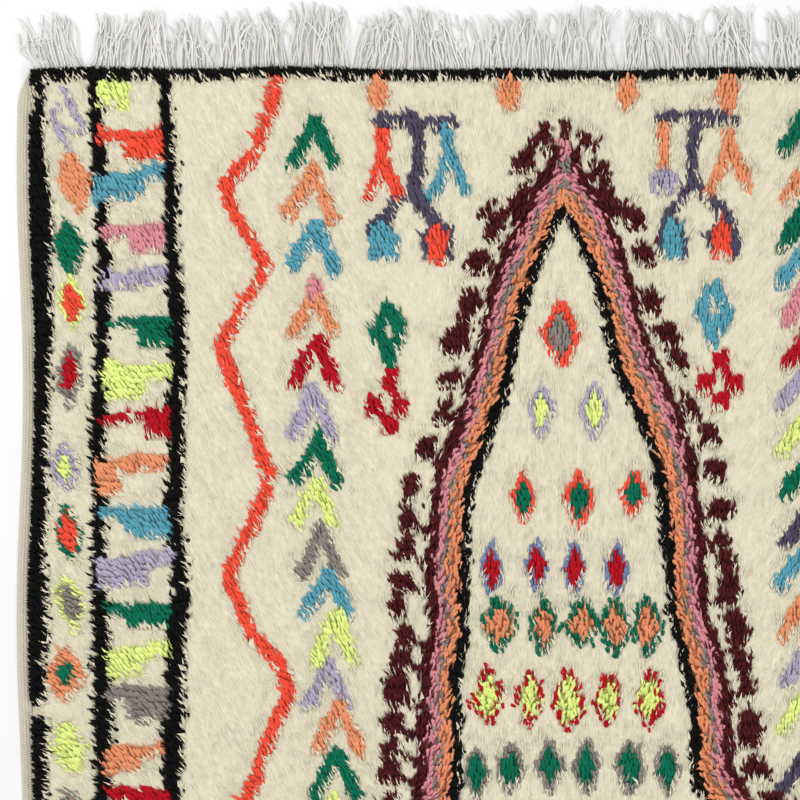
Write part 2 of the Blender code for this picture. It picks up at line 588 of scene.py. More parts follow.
@dataclass(frozen=True)
class Chart:
    """The rug's pattern for its upper half, in millimetres. The lower half turns it over."""

    medallion: Medallion = Medallion()
    chevron_stroke: float = 18.0
    left_leg_more: float = 3.0  # because the wool lies square to it
    zigzag_width: float = 18.5
    zigzag_shift: float = 3.5  # to the right of the places measured
    figure_spread: float = 2.5  # added to the figures' strokes, because wool is drawn thinner than its knots
    top_width: float = 12.5
    end_allowance: float = 6.8  # of plain wool past the chart's first knots

    def side_column(self) -> list[Motif]:
        """The column of lozenges between the two outer black lines. The first is only a few slanting strokes.

        Returns:
            Its motifs.
        """
        table = (
            # across, drop, half width, half height, slant, outline, heart, heart's share
            (-682, 151, 23, 47, 0.20, Yarn.SALMON, None, 0),
            (-692, 242, 22, 40, 0.12, Yarn.GREEN, None, 0),
            (-685, 321, 20, 42, 0.06, Yarn.LIME, Yarn.RED_ORANGE, 0.70),
            (-692, 419, 18, 46, 0.00, Yarn.GREY, Yarn.CRIMSON, 0.62),
            (-698, 553, 21, 39, 0.10, Yarn.LAVENDER, Yarn.LIME, 0.52),
            (-692, 641, 18, 40, 0.10, Yarn.GREEN, Yarn.RED_ORANGE, 0.74),
            (-690, 741, 21, 43, 0.15, Yarn.LIME, Yarn.GREY, 0.66),
            (-694, 840, 27, 43, 0.05, Yarn.SALMON, Yarn.GREEN, 0.44),
            (-691, 941, 24, 38, 0.10, Yarn.LIME, None, 0),
            (-690, 1037, 23, 40, 0.00, Yarn.GREY, Yarn.SALMON, 0.62),
            (-692, 1138, 23, 38, 0.00, Yarn.CRIMSON, Yarn.LAVENDER, 0.60),
        )
        strokes = (
            ((-698, 14), (-689, 45), (-674, 78)),
            ((-702, 46), (-716, 58), (-702, 82), (-692, 102)),
            ((-703, 78), (-676, 80)),
        )
        return [
            *(Stroke(line, 7.0, Yarn.LAVENDER) for line in strokes),
            *(
                Lozenge(x, drop, wide, high, yarn, heart, heart_share=share, slant=slant)
                for x, drop, wide, high, slant, yarn, heart, share in table
            ),
        ]

    def ladder(self) -> list[Motif]:
        """The flags between the second and third black lines: a thick block and a thin arm beside it.

        Returns:
            Its motifs.
        """
        left, right = Side.LEFT, Side.RIGHT
        table = (
            # drop at the left, yarn, side of the block, left end, split, right end, slope, block's
            # height, arm's height
            (10, Yarn.LIME, left, -653, -606, -606, 0.00, 41, 0),
            (80, Yarn.RED_ORANGE, right, -653, -611, -560, -0.11, 49, 17),
            (147, Yarn.BLUE, left, -655, -588, -559, -0.21, 39, 23),
            (211, Yarn.PINK, right, -648, -606, -558, -0.03, 43, 17),
            (281, Yarn.LAVENDER, left, -648, -553, -553, -0.13, 23, 0),
            (344, Yarn.GREEN, right, -637, -594, -550, -0.06, 40, 14),
            (406, Yarn.LIME, left, -642, -584, -547, -0.04, 49, 24),
            (476, Yarn.CRIMSON, right, -647, -588, -550, -0.08, 42, 17),
            (543, Yarn.SALMON, left, -655, -616, -556, -0.16, 44, 22),
            (602, Yarn.BLUE, right, -651, -616, -549, 0.05, 42, 19),
            (680, Yarn.LAVENDER, left, -652, -583, -545, -0.19, 43, 23),
            (742, Yarn.GREEN, right, -638, -609, -549, -0.03, 36, 17),
            (804, Yarn.LIME, left, -639, -585, -545, -0.12, 43, 24),
            (858, Yarn.GREY, right, -642, -609, -553, 0.00, 44, 19),
            (940, Yarn.SALMON, left, -643, -587, -556, -0.10, 41, 22),
            (1001, Yarn.CRIMSON, right, -636, -606, -553, -0.04, 44, 18),
            (1066, Yarn.BLUE, left, -645, -590, -555, -0.09, 45, 22),
            (1131, Yarn.PINK, right, -645, -608, -555, -0.09, 43, 20),
        )
        motifs: list[Motif] = []
        for drop, yarn, side, low, split, high, slope, block, arm in table:
            heights = (block, arm) if side is left else (arm, block)
            middle = drop + slope * (split - low)
            for x0, x1, top, height in ((low, split, drop, heights[0]), (split, high, middle, heights[1])):
                if height and x1 > x0:
                    motifs.append(Block(x0, x1, top, height, slope, yarn))
        return motifs

    def border_lines(self) -> list[Motif]:
        """The three black lines down the left side.

        Returns:
            Its motifs.
        """
        outer = (
            (0, -738, -724), (45, -739, -723), (80, -770, -723), (235, -770, -714), (389, -770, -715),
            (529, -770, -720), (795, -770, -720), (1185, -770, -717),
        )
        middle = (
            (0, -664, -648), (109, -663, -641), (193, -653, -633), (389, -654, -633), (459, -660, -637),
            (655, -662, -641), (879, -657, -629), (1185, -657, -629),
        )
        inner = (
            (0, -563, -549), (109, -563, -542), (249, -556, -535), (319, -554, -528), (459, -553, -528),
            (627, -557, -533), (683, -550, -525), (809, -552, -526), (879, -561, -531), (1185, -561, -531),
        )
        return [Line(outer, Yarn.BLACK, gap=(882, 902)), Line(middle, Yarn.BLACK), Line(inner, Yarn.BLACK)]

    def zigzag(self) -> list[Motif]:
        """The red zigzag beside the border.

        Returns:
            Its motifs.
        """
        line = (
            (-401, 4), (-410, 55), (-446, 125), (-475, 158), (-466, 196), (-433, 250), (-420, 268),
            (-482, 378), (-479, 396), (-430, 520), (-410, 560), (-436, 630), (-467, 690), (-469, 714),
            (-440, 780), (-396, 830), (-387, 866), (-450, 1019), (-428, 1090), (-396, 1185),
        )
        moved = tuple((x + self.zigzag_shift, drop) for x, drop in line)
        return [Stroke(moved, self.zigzag_width, Yarn.RED_ORANGE)]

    def chevron(self, x: float, drop: float, yarn: Yarn, left: float, right: float) -> list[Motif]:
        """One chevron, pointing up: two legs out and down from its top, that far to each side.

        Args:
            x: of its top.
            drop: of its top.
            yarn: of both legs.
            left: reach of the left leg.
            right: reach of the right leg.

        Returns:
            The two legs.
        """
        legs = ((x, drop), (x - left, drop + 58)), ((x, drop), (x + right, drop + 62))
        widths = (self.chevron_stroke + self.left_leg_more, self.chevron_stroke)
        return [Stroke(leg, width, yarn) for leg, width in zip(legs, widths)]

    def left_chevrons(self) -> list[Motif]:
        """The column of chevrons on the left.

        Returns:
            Its motifs.
        """
        table = (
            (-347, 66, Yarn.GREEN), (-351, 137, Yarn.SALMON), (-346, 210, Yarn.BLUE),
            (-347, 300, Yarn.SALMON), (-343, 374, Yarn.CRIMSON), (-347, 444, Yarn.LAVENDER),
            (-343, 508, Yarn.GREEN), (-344, 571, Yarn.LIME), (-337, 637, Yarn.GREY),
            (-329, 697, Yarn.BLUE), (-316, 760, Yarn.LIME), (-329, 823, Yarn.LAVENDER),
            (-312, 883, Yarn.SALMON), (-315, 949, Yarn.GREEN), (-320, 1016, Yarn.LIME),
            (-328, 1082, Yarn.BLUE), (-334, 1146, Yarn.CRIMSON),
        )
        motifs = [leg for x, drop, yarn in table for leg in self.chevron(x, drop, yarn, 31, 26)]
        return [*motifs, Lozenge(-347, 300, 16, 18, Yarn.PINK)]

    def right_chevrons(self) -> list[Motif]:
        """The column of chevrons on the right.

        Returns:
            Its motifs.
        """
        table = (
            (46, Yarn.GREEN), (116, Yarn.SALMON), (179, Yarn.GREEN), (235, Yarn.BLUE), (284, Yarn.PINK),
            (344, Yarn.CRIMSON), (406, Yarn.LAVENDER), (470, Yarn.LIME), (529, Yarn.GREEN),
            (596, Yarn.SLATE), (657, Yarn.BLUE), (727, Yarn.SALMON), (790, Yarn.LAVENDER),
            (858, Yarn.LIME), (940, Yarn.SLATE), (1006, Yarn.GREEN), (1072, Yarn.PINK),
            (1140, Yarn.BLUE),
        )
        return [
            leg
            for row, (drop, yarn) in enumerate(table)
            for leg in self.chevron(347 + 4 * math.sin(1.7 * row), drop, yarn, 38, 36)
        ]

    def left_figure(self) -> list[Motif]:
        """A figure of strokes: a bar with a stem that forks to two feet, and a branch hung at each side.

        Returns:
            Its motifs.
        """
        slate, red, blue = Yarn.SLATE, Yarn.RED_ORANGE, Yarn.BLUE
        strokes = (
            (((-260, 66), (-157, 66)), 17, slate),
            (((-206, 68), (-204, 120), (-207, 170)), 16, slate),
            (((-207, 165), (-177, 211)), 15, slate),
            (((-224, 170), (-249, 206)), 15, slate),
            (((-255, 84), (-254, 128)), 15, red),
            (((-255, 128), (-276, 174)), 15, red),
            (((-250, 126), (-226, 168)), 16, red),
            (((-163, 76), (-161, 124)), 13, blue),
            (((-165, 122), (-185, 170)), 14, blue),
            (((-158, 122), (-140, 162)), 14, blue),
        )
        return [
            *(Stroke(line, width + self.figure_spread, yarn) for line, width, yarn in strokes),
            Lozenge(-256, 226, 22, 26, slate, roundness=1.9),
            Lozenge(-252, 235, 22, 27, blue, roundness=1.7),
            Block(-272, -232, 234, 24, 0, blue),
            Lozenge(-176, 232, 21, 27, slate, roundness=1.7),
            Block(-197, -155, 232, 26, 0, slate),
            Lozenge(-176, 238, 15, 27, red, roundness=1.6),
            Block(-189, -163, 236, 27, 0, red),
        ]

    def right_figure(self) -> list[Motif]:
        """The same kind of figure on the right, with salmon branches and one lavender foot.

        Returns:
            Its motifs.
        """
        slate, red, blue, salmon = Yarn.SLATE, Yarn.RED_ORANGE, Yarn.BLUE, Yarn.SALMON
        strokes = (
            (((133, 63), (241, 61)), 15, slate),
            (((183, 66), (181, 112), (184, 162)), 15, slate),
            (((178, 160), (144, 202)), 15, slate),
            (((193, 156), (229, 202)), 15, slate),
            (((138, 77), (139, 130)), 14, salmon),
            (((229, 82), (231, 112)), 14, salmon),
            (((229, 110), (208, 164)), 14, salmon),
            (((232, 110), (254, 158)), 14, salmon),
        )
        return [
            *(Stroke(line, width + self.figure_spread, yarn) for line, width, yarn in strokes),
            Lozenge(139, 149, 22, 22, Yarn.LAVENDER, roundness=1.6),
            Lozenge(151, 232, 22, 27, slate, roundness=1.9),
            Block(130, 172, 234, 22, 0, slate),
            Lozenge(151, 234, 17, 28, blue, roundness=1.7),
            Block(138, 166, 236, 23, 0, blue),
            Lozenge(224, 232, 24, 27, slate, roundness=1.9),
            Block(202, 246, 232, 22, 0, slate),
            Lozenge(221, 232, 15, 27, red, roundness=1.6),
            Block(208, 234, 234, 24, 0, red),
        ]

    def cross(self, x: float, drop: float, yarn: Yarn) -> list[Motif]:
        """Four blocks round a bare middle."""
        blocks = ((-8, 14, -46, 32), (-31, -7, -14, 31), (6, 29, -16, 33), (-10, 13, 15, 27))
        return [Block(x + low, x + high, drop + top, tall, 0, yarn) for low, high, top, tall in blocks]

    def ring(self, x: float, drop: float, yarn: Yarn, foot: float) -> list[Motif]:
        """A lozenge-shaped ring with a short foot under it.

        Args:
            x: of its middle.
            drop: of its middle.
            yarn: of all of it.
            foot: length of the foot.

        Returns:
            Its strokes.
        """
        left = ((x, drop - 38), (x - 19, drop - 2), (x, drop + 36))
        right = ((x, drop - 38), (x + 19, drop - 2), (x, drop + 36))
        stub = ((x - 1, drop + 34), (x - 1, drop + 34 + foot))
        return [*(Stroke(line, 19, yarn) for line in (left, right)), Stroke(stub, 21, yarn)]

    def field_figures(self) -> list[Motif]:
        """What stands on the cream field at either side of the medallion.

        Returns:
            Its motifs.
        """
        top_row = [Lozenge(x, 27, 17, 29, Yarn.SALMON, roundness=1.4) for x in (-259, -78, 88, 230)]
        return [
            *top_row,
            *self.left_figure(),
            *self.right_figure(),
            *self.ring(-244, 364, Yarn.GREEN, 8),
            *self.ring(211, 336, Yarn.BLUE, 2),
            *self.cross(-246, 462, Yarn.CRIMSON),
            *self.cross(218, 430, Yarn.CRIMSON),
        ]

    def medallion_rows(self) -> list[Motif]:
        """The rows of lozenges inside the medallion.

        Returns:
            Its motifs.
        """
        looped = Pile.LOOPED
        table = (
            # drop, places across, half width, half height, outline, heart, pile, heart's share
            (368, (-4,), 25, 47, Yarn.RED_ORANGE, Yarn.GREY, None, 0.66),
            (469, (-32, 41), 19, 40, Yarn.LAVENDER, Yarn.LIME, None, 0.66),
            (591, (-58, 21, 99), 20, 38, Yarn.RED_ORANGE, Yarn.GREEN, None, 0.66),
            (690, (-101, -38, 15, 74), 17, 39, Yarn.SLATE_BLUE, Yarn.CRIMSON, None, 0.72),
            (771, (-90, -28, 25, 71, 116), 22, 41, Yarn.GREEN, Yarn.SALMON, looped, 0.70),
            (872, (-106, -48, 7, 63, 119), 20, 42, Yarn.CRIMSON, Yarn.LIME, looped, 0.76),
            (973, (-122, -74, -21, 32, 92, 144), 21, 38, Yarn.GREY, Yarn.GREEN, None, 0.68),
            (1073, (-165, -105, -44, 18, 80, 140, 195), 20, 38, Yarn.SLATE_BLUE, Yarn.PINK, None, 0.70),
            (1160, (-180, -118, -55, 8, 72, 134, 198), 20, 30, Yarn.CRIMSON, Yarn.LIME, looped, 0.74),
        )
        return [
            Lozenge(x, drop + 4 * math.sin(1.9 * x), wide, high, yarn, heart, pile, share)
            for drop, places, wide, high, yarn, heart, pile, share in table
            for x in places
        ]

    def read(self, x: Array, y: Array) -> tuple[Array, Array]:
        """The chart at places on the rug, as uneven as hand knotting makes it.

        Args:
            x: places across, in metres.
            y: places along, in metres.

        Returns:
            Numbers of the yarn and of the kind of pile at each place.
        """
        drift_x = wander(x, y, 0.110, 1.6 * MM, 11) + wander(x, y, 0.024, 1.1 * MM, 12)
        drift_y = wander(x, y, 0.120, 2.0 * MM, 13) + wander(x, y, 0.026, 1.2 * MM, 14)
        drop = OUTLINE.half_length - self.end_allowance * MM - np.abs(y + drift_y)
        page = Page(x + drift_x, drop)
        self.medallion.paint(page)
        border = [*self.border_lines(), *self.ladder(), *self.side_column(), *self.zigzag()]
        motifs = [
            *border,
            *(motif.flipped() for motif in border),
            *self.left_chevrons(),
            *self.right_chevrons(),
            *self.field_figures(),
            *self.medallion_rows(),
        ]
        for motif in motifs:
            motif.paint(page)
        edge = OUTLINE.end(x, End.TOP) - np.abs(y)
        salmon_tops = page.yarn == Yarn.SALMON.number
        page.knot(np.flatnonzero((edge < self.top_width * MM) & ~salmon_tops), Yarn.BLACK)
        return page.yarn, page.pile


CHART = Chart()


class Nodes:
    """Builds one node tree."""

    def __init__(self, tree: Tree) -> None:
        """Starts on an existing tree."""
        self.tree = tree

    def add(self, kind: str, inputs: dict | None = None, **settings: object) -> bpy.types.Node:
        """Adds a node.

        Args:
            kind: the node's type name.
            inputs: for each input's name or number, a plain value or a socket to link.
            settings: attributes of the node.

        Returns:
            The node.
        """
        node = self.tree.nodes.new(kind)
        for key, value in settings.items():
            setattr(node, key, value)
        self.fill(node, inputs or {})
        return node

    def fill(self, node: bpy.types.Node, inputs: dict) -> None:
        """Sets inputs of a node.

        Args:
            node: of this tree.
            inputs: for each input's name or number, a plain value or a socket to link.
        """
        for key, value in inputs.items():
            if isinstance(value, Socket):
                self.tree.links.new(value, node.inputs[key])
            else:
                node.inputs[key].default_value = value

    def attribute(self, name: str, output: str) -> Socket:
        """One output of an Attribute node."""
        return self.add("ShaderNodeAttribute", attribute_name=name).outputs[output]

    def place(self) -> Socket:
        """Places in the object's own space."""
        return self.add("ShaderNodeTexCoord").outputs["Object"]

    def lock_place(self) -> Socket:
        """Metres across and along each lock."""
        return self.add("ShaderNodeUVMap", uv_map=LOCK_MAP).outputs[0]

    def vector(self, operation: str, first: object, second: object) -> Socket:
        """The result of a Vector Math node."""
        return self.add("ShaderNodeVectorMath", {0: first, 1: second}, operation=operation).outputs[0]

    def blend(self, factor: object, first: object, second: object) -> Socket:
        """Two numbers mixed by a factor."""
        return self.add("ShaderNodeMix", {0: factor, 2: first, 3: second}).outputs[0]

    def maths(self, operation: str, *values: object) -> Socket:
        """The result of a Math node."""
        return self.add("ShaderNodeMath", dict(enumerate(values)), operation=operation).outputs[0]

    def scaled(self, colour: object, factor: object) -> Socket:
        """A colour times a grey factor, by a Vector Math node."""
        node = self.add("ShaderNodeVectorMath", {0: colour, "Scale": factor}, operation="SCALE")
        return node.outputs[0]

    def mixed(self, factor: object, first: object, second: object) -> Socket:
        """Two colours mixed by a factor."""
        node = self.add("ShaderNodeMix", {0: factor, 6: first, 7: second}, data_type="RGBA")
        return node.outputs[2]

    def noise(self, vector: object, scale: float, detail: float) -> Socket:
        """The value of a Noise Texture."""
        inputs = {"Vector": vector, "Scale": scale, "Detail": detail}
        return self.add("ShaderNodeTexNoise", inputs).outputs["Fac"]

    def group(self, tree: Tree, **inputs: object) -> bpy.types.bpy_prop_collection:
        """The outputs of a new group node of a tree, with its inputs by name."""
        return self.add("ShaderNodeGroup", inputs, node_tree=tree).outputs

    def spread(self, value: object, amount: float) -> Socket:
        """A value from 0 to 1 made into a factor from 1 less an amount to 1 and that amount."""
        return self.maths("MULTIPLY_ADD", value, 2 * amount, 1 - amount)

    def evened(self, amount: float) -> Socket:
        """The surface's normal, turned a share of the way to straight up.

        Args:
            amount: that share.

        Returns:
            The turned normal.
        """
        normal = self.add("ShaderNodeNewGeometry").outputs["Normal"]
        kept = self.scaled(normal, 1 - amount)
        lifted = self.vector("ADD", kept, (0, 0, amount))
        return self.add("ShaderNodeVectorMath", {0: lifted}, operation="NORMALIZE").outputs[0]


def new_group(name: str, inputs: dict[str, tuple[str, object]], outputs: Iterable[str]) -> Nodes:
    """An empty shader node group.

    Args:
        name: of the group.
        inputs: socket type and default value (or None) of each input.
        outputs: names of its number outputs.

    Returns:
        The group's tree.
    """
    tree = bpy.data.node_groups.new(name, "ShaderNodeTree")
    for key, (kind, value) in inputs.items():
        socket = tree.interface.new_socket(key, in_out="INPUT", socket_type=kind)
        if value is not None:
            socket.default_value = value
    for key in outputs:
        tree.interface.new_socket(key, in_out="OUTPUT", socket_type="NodeSocketFloat")
    return Nodes(tree)


def new_material(name: str) -> tuple[Material, Nodes, bpy.types.Node]:
    """A new material.

    Args:
        name: of the material.

    Returns:
        The material, the builder of its node tree and its shader.
    """
    material = bpy.data.materials.new(name)
    material.use_nodes = True
    return material, Nodes(material.node_tree), material.node_tree.nodes["Principled BSDF"]


class Effects:
    """The shader node groups that several finishes share, each built once."""

    def __init__(self) -> None:
        """Builds the groups."""
        self.fibres = self._fibres()
        self.twist = self._twist()
        self.soiling = self._soiling()

    @staticmethod
    def _fibres() -> Tree:
        """Fine streaks along a lock: noise squeezed across it and drawn out along it, in two widths.

        Returns:
            The group's tree.
        """
        nodes = new_group(
            "Wool fibres",
            {
                "Place": ("NodeSocketVector", None),
                "Spacing": ("NodeSocketFloat", 0.001),
                "Length": ("NodeSocketFloat", 0.012),
            },
            ["Streak", "Clump"],
        )
        given = nodes.add("NodeGroupInput").outputs
        place = nodes.add("ShaderNodeSeparateXYZ", {0: given["Place"]}).outputs
        across = nodes.maths("DIVIDE", place[0], given["Spacing"])
        along = nodes.maths("DIVIDE", place[1], given["Length"])
        drawn = nodes.add("ShaderNodeCombineXYZ", {0: across, 1: along, 2: place[2]}).outputs[0]
        streak = nodes.noise(drawn, 1.0, 2.0)
        clump = nodes.noise(drawn, 0.27, 1.0)
        nodes.add("NodeGroupOutput", {"Streak": streak, "Clump": clump})
        return nodes.tree

    @staticmethod
    def _twist() -> Tree:
        """Ply of a twisted yarn: a sine of the turn round it plus the way along it.

        Returns:
            The group's tree.
        """
        nodes = new_group(
            "Yarn twist",
            {
                "Place": ("NodeSocketVector", None),
                "Girth": ("NodeSocketFloat", 0.006),
                "Pitch": ("NodeSocketFloat", 0.006),
                "Plies": ("NodeSocketFloat", 2.0),
            },
            ["Ply"],
        )
        given = nodes.add("NodeGroupInput").outputs
        place = nodes.add("ShaderNodeSeparateXYZ", {0: given["Place"]}).outputs
        turn = nodes.maths("MULTIPLY", nodes.maths("DIVIDE", place[0], given["Girth"]), given["Plies"])
        lead = nodes.maths("ADD", turn, nodes.maths("DIVIDE", place[1], given["Pitch"]))
        wave = nodes.maths("SINE", nodes.maths("MULTIPLY", lead, TURN))
        ply = nodes.maths("MULTIPLY_ADD", wave, 0.5, 0.5)
        nodes.add("NodeGroupOutput", {"Ply": ply})
        return nodes.tree

    @staticmethod
    def _soiling() -> Tree:
        """Uneven tone of undyed wool: broad cloudy noise and small matted patches, both from 0 to 1.

        Returns:
            The group's tree.
        """
        nodes = new_group("Uneven wool", {"Place": ("NodeSocketVector", None)}, ["Broad", "Small"])
        given = nodes.add("NodeGroupInput").outputs
        broad = nodes.noise(given["Place"], 4.0, 3.0)
        small = nodes.noise(given["Place"], 38.0, 2.0)
        nodes.add("NodeGroupOutput", {"Broad": broad, "Small": small})
        return nodes.tree


@dataclass(frozen=True)
class WoolFinish:
    """Finish of one kind of pile. Its colour is each lock's own, from the mesh's dye attribute."""

    name: str
    spacing: float  # of the fibre streaks
    run: float  # of a streak
    streak: float  # how far streaks lighten and darken
    clump: float
    painted_shade: tuple[float, float, float]  # painted shade: what is left of the colour at a lock's foot, where the locks over it shade it
    patch: float  # how far matted patches lighten and darken
    relief: float  # height of the fibres
    roughness: float
    sheen: float
    flat: float  # how far the locks' shading is evened out, as in wool that light goes into

    def make(self, effects: Effects) -> Material:
        """Builds the material: dye times streaks, painted shade towards each lock's foot and patches, with
        the streaks as relief.

        Args:
            effects: the shared node groups.

        Returns:
            The material.
        """
        material, nodes, shader = new_material(self.name)
        lock = nodes.lock_place()
        fibres = nodes.group(effects.fibres, Place=lock, Spacing=self.spacing, Length=self.run)
        place = nodes.place()
        uneven = nodes.group(effects.soiling, Place=place)
        dye = nodes.attribute("dye", "Color")
        along = nodes.attribute("along", "Fac")
        reach = nodes.add(
            "ShaderNodeMapRange",
            {"Value": along, "From Min": 0.15, "From Max": 0.8},
            interpolation_type="SMOOTHSTEP",
        ).outputs[0]
        # painted shade: the dye darkens towards each lock's foot, which lies in the shade of the locks over
        # it
        painted_shade = nodes.mixed(reach, (*self.painted_shade, 1), (1, 1, 1, 1))
        tinted = nodes.vector("MULTIPLY", dye, painted_shade)
        streak = nodes.spread(fibres["Streak"], self.streak)
        clump = nodes.spread(fibres["Clump"], self.clump)
        patch = nodes.spread(uneven["Small"], self.patch)
        broad = nodes.spread(uneven["Broad"], self.patch)
        fine, wide = nodes.maths("MULTIPLY", streak, clump), nodes.maths("MULTIPLY", patch, broad)
        light = nodes.maths("MULTIPLY", fine, wide)
        nodes.tree.links.new(nodes.scaled(tinted, light), shader.inputs["Base Color"])
        relief = nodes.maths("ADD", fibres["Streak"], fibres["Clump"])
        normal = nodes.evened(self.flat)
        bump = {"Height": relief, "Distance": self.relief, "Strength": 1.0, "Normal": normal}
        nodes.tree.links.new(nodes.add("ShaderNodeBump", bump).outputs[0], shader.inputs["Normal"])
        rough = nodes.maths("MULTIPLY_ADD", fibres["Streak"], 0.12, self.roughness - 0.06)
        nodes.tree.links.new(rough, shader.inputs["Roughness"])
        shader.inputs["Specular IOR Level"].default_value = 0.12
        shader.inputs["Sheen Weight"].default_value = self.sheen
        shader.inputs["Sheen Roughness"].default_value = 0.55
        return material


@dataclass(frozen=True)
class YarnFinish:
    """Finish of plain twisted yarn: warp ends, the twined cord and the wrapped side edges."""

    name: str
    colour: tuple[float, float, float]  # sRGB shares
    shadow: tuple[float, float, float]
    girth: float
    pitch: float
    plies: float
    relief: float
    roughness: float
    fuzz: float
    flat: float = 0.0  # how far its shading is evened out

    def make(self, effects: Effects) -> Material:
        """Builds the material: the colour with a painted shadow tone in the grooves between the plies, each
        strand's own random tone or an edge's painted groove shade, and fibre streaks.

        Args:
            effects: the shared node groups.

        Returns:
            The material.
        """
        material, nodes, shader = new_material(self.name)
        lock = nodes.lock_place()
        twist = nodes.group(effects.twist, Place=lock, Girth=self.girth, Pitch=self.pitch, Plies=self.plies)
        fibres = nodes.group(effects.fibres, Place=lock, Spacing=0.0006, Length=0.009)
        place = nodes.place()
        uneven = nodes.group(effects.soiling, Place=place)
        # each strand's own random tone, or on the side edges painted shade in the grooves between cords
        tint = nodes.attribute("tint", "Fac")
        ply = twist["Ply"]
        # painted shadow: the shadow tone fills the grooves between the plies
        painted_shade = nodes.maths("MULTIPLY", nodes.maths("SUBTRACT", 1.0, ply), 0.55)
        tone = nodes.mixed(painted_shade, (*linear(self.colour), 1), (*linear(self.shadow), 1))
        streak = nodes.spread(fibres["Streak"], self.fuzz)
        patch = nodes.spread(uneven["Broad"], 0.08)
        light = nodes.maths("MULTIPLY", nodes.maths("MULTIPLY", streak, patch), tint)
        nodes.tree.links.new(nodes.scaled(tone, light), shader.inputs["Base Color"])
        relief = nodes.maths("MULTIPLY_ADD", fibres["Streak"], 0.35, ply)
        bump = {"Height": relief, "Distance": self.relief, "Normal": nodes.evened(self.flat)}
        nodes.tree.links.new(nodes.add("ShaderNodeBump", bump).outputs[0], shader.inputs["Normal"])
        rough = nodes.maths("MULTIPLY_ADD", fibres["Streak"], 0.1, self.roughness)
        nodes.tree.links.new(rough, shader.inputs["Roughness"])
        shader.inputs["Specular IOR Level"].default_value = 0.2
        shader.inputs["Sheen Weight"].default_value = 0.15
        return material


@dataclass(frozen=True)
class GroundFinish:
    """Finish of the knotted ground: matted wool above, and rows of knots with wefts between them below."""

    name: str = "Knotted ground"
    knot_pitch: float = 0.0052
    row_pitch: float = 0.0066
    weft: tuple[float, float, float] = (0.80, 0.77, 0.68)  # sRGB shares
    relief: float = 0.0009
    mat_spacing: float = 0.0024
    mat_run: float = 0.0120
    mat_relief: float = 0.0027
    mat_lean: float = 27.0  # degrees outwards, of the wool at either side of the middle
    ridge_pitch: float = 0.0150
    ridge_sway: float = 0.030
    ridge_relief: float = 0.00030

    def make(self, effects: Effects) -> Material:
        """Builds the material: sine ridges for the knots below, with painted shade where their relief is low,
        and drawn-out noise for the wool above.

        Args:
            effects: the shared node groups.

        Returns:
            The material.
        """
        material, nodes, shader = new_material(self.name)
        place = nodes.place()
        uneven = nodes.group(effects.soiling, Place=place)
        dye = nodes.attribute("dye", "Color")
        under = nodes.attribute("under", "Fac")
        wobble = nodes.noise(place, 60.0, 1.0)
        parts = nodes.add("ShaderNodeSeparateXYZ", {0: place}).outputs
        knots = nodes.maths("SINE", nodes.maths("MULTIPLY", parts[0], TURN / self.knot_pitch))
        shifted = nodes.maths("MULTIPLY_ADD", wobble, 0.0022, parts[1])
        rows = nodes.maths("SINE", nodes.maths("MULTIPLY", shifted, TURN / self.row_pitch))
        row_high = nodes.maths("MULTIPLY_ADD", rows, 0.5, 0.5)
        knot_high = nodes.maths("MULTIPLY_ADD", knots, 0.35, 0.65)
        height = nodes.maths("MULTIPLY", row_high, knot_high)
        furrow = nodes.add(
            "ShaderNodeMapRange",
            {"Value": row_high, "From Min": 0.08, "From Max": 0.30, "To Min": 0.75, "To Max": 0.0},
        ).outputs[0]
        furrow = nodes.maths("MULTIPLY", furrow, under)
        colour = nodes.mixed(furrow, dye, (*linear(self.weft), 1))
        aside = nodes.maths("ABSOLUTE", parts[0])
        mirrored = nodes.add("ShaderNodeCombineXYZ", {0: aside, 1: parts[1], 2: parts[2]}).outputs[0]
        leaning = nodes.add(
            "ShaderNodeVectorRotate",
            {"Vector": mirrored, "Angle": math.radians(self.mat_lean)},
            rotation_type="Z_AXIS",
        ).outputs[0]
        at_side = nodes.add(
            "ShaderNodeMapRange",
            {"Value": aside, "From Min": 0.14, "From Max": 0.30},
            interpolation_type="SMOOTHSTEP",
        ).outputs[0]
        upright, slanting = (
            nodes.group(effects.fibres, Place=vector, Spacing=self.mat_spacing, Length=self.mat_run)
            for vector in (place, leaning)
        )
        mat = {
            name: nodes.blend(at_side, upright[name], slanting[name])
            for name in ("Streak", "Clump")
        }
        # painted shade: the underside is darker in the hollows between the knots and between their rows
        below = nodes.maths("MULTIPLY_ADD", height, 0.25, 0.72)
        above = nodes.maths("MULTIPLY", nodes.spread(mat["Streak"], 0.26), nodes.spread(mat["Clump"], 0.16))
        light = nodes.blend(under, above, below)
        light = nodes.maths("MULTIPLY", light, nodes.spread(uneven["Small"], 0.05))
        nodes.tree.links.new(nodes.scaled(colour, light), shader.inputs["Base Color"])
        knotted = nodes.maths("MULTIPLY", height, self.relief)
        matted = nodes.maths("MULTIPLY", nodes.maths("ADD", mat["Streak"], mat["Clump"]), self.mat_relief)
        swayed = nodes.maths("MULTIPLY_ADD", uneven["Small"], self.ridge_sway, parts[1])
        ridges = nodes.maths("SINE", nodes.maths("MULTIPLY", swayed, TURN / self.ridge_pitch))
        matted = nodes.maths("MULTIPLY_ADD", ridges, self.ridge_relief, matted)
        relief = nodes.blend(under, matted, knotted)
        bump = nodes.add("ShaderNodeBump", {"Height": relief, "Distance": 1.0}).outputs[0]
        nodes.tree.links.new(bump, shader.inputs["Normal"])
        rough = nodes.maths("MULTIPLY_ADD", height, -0.1, 0.95)
        nodes.tree.links.new(rough, shader.inputs["Roughness"])
        shader.inputs["Specular IOR Level"].default_value = 0.12
        return material


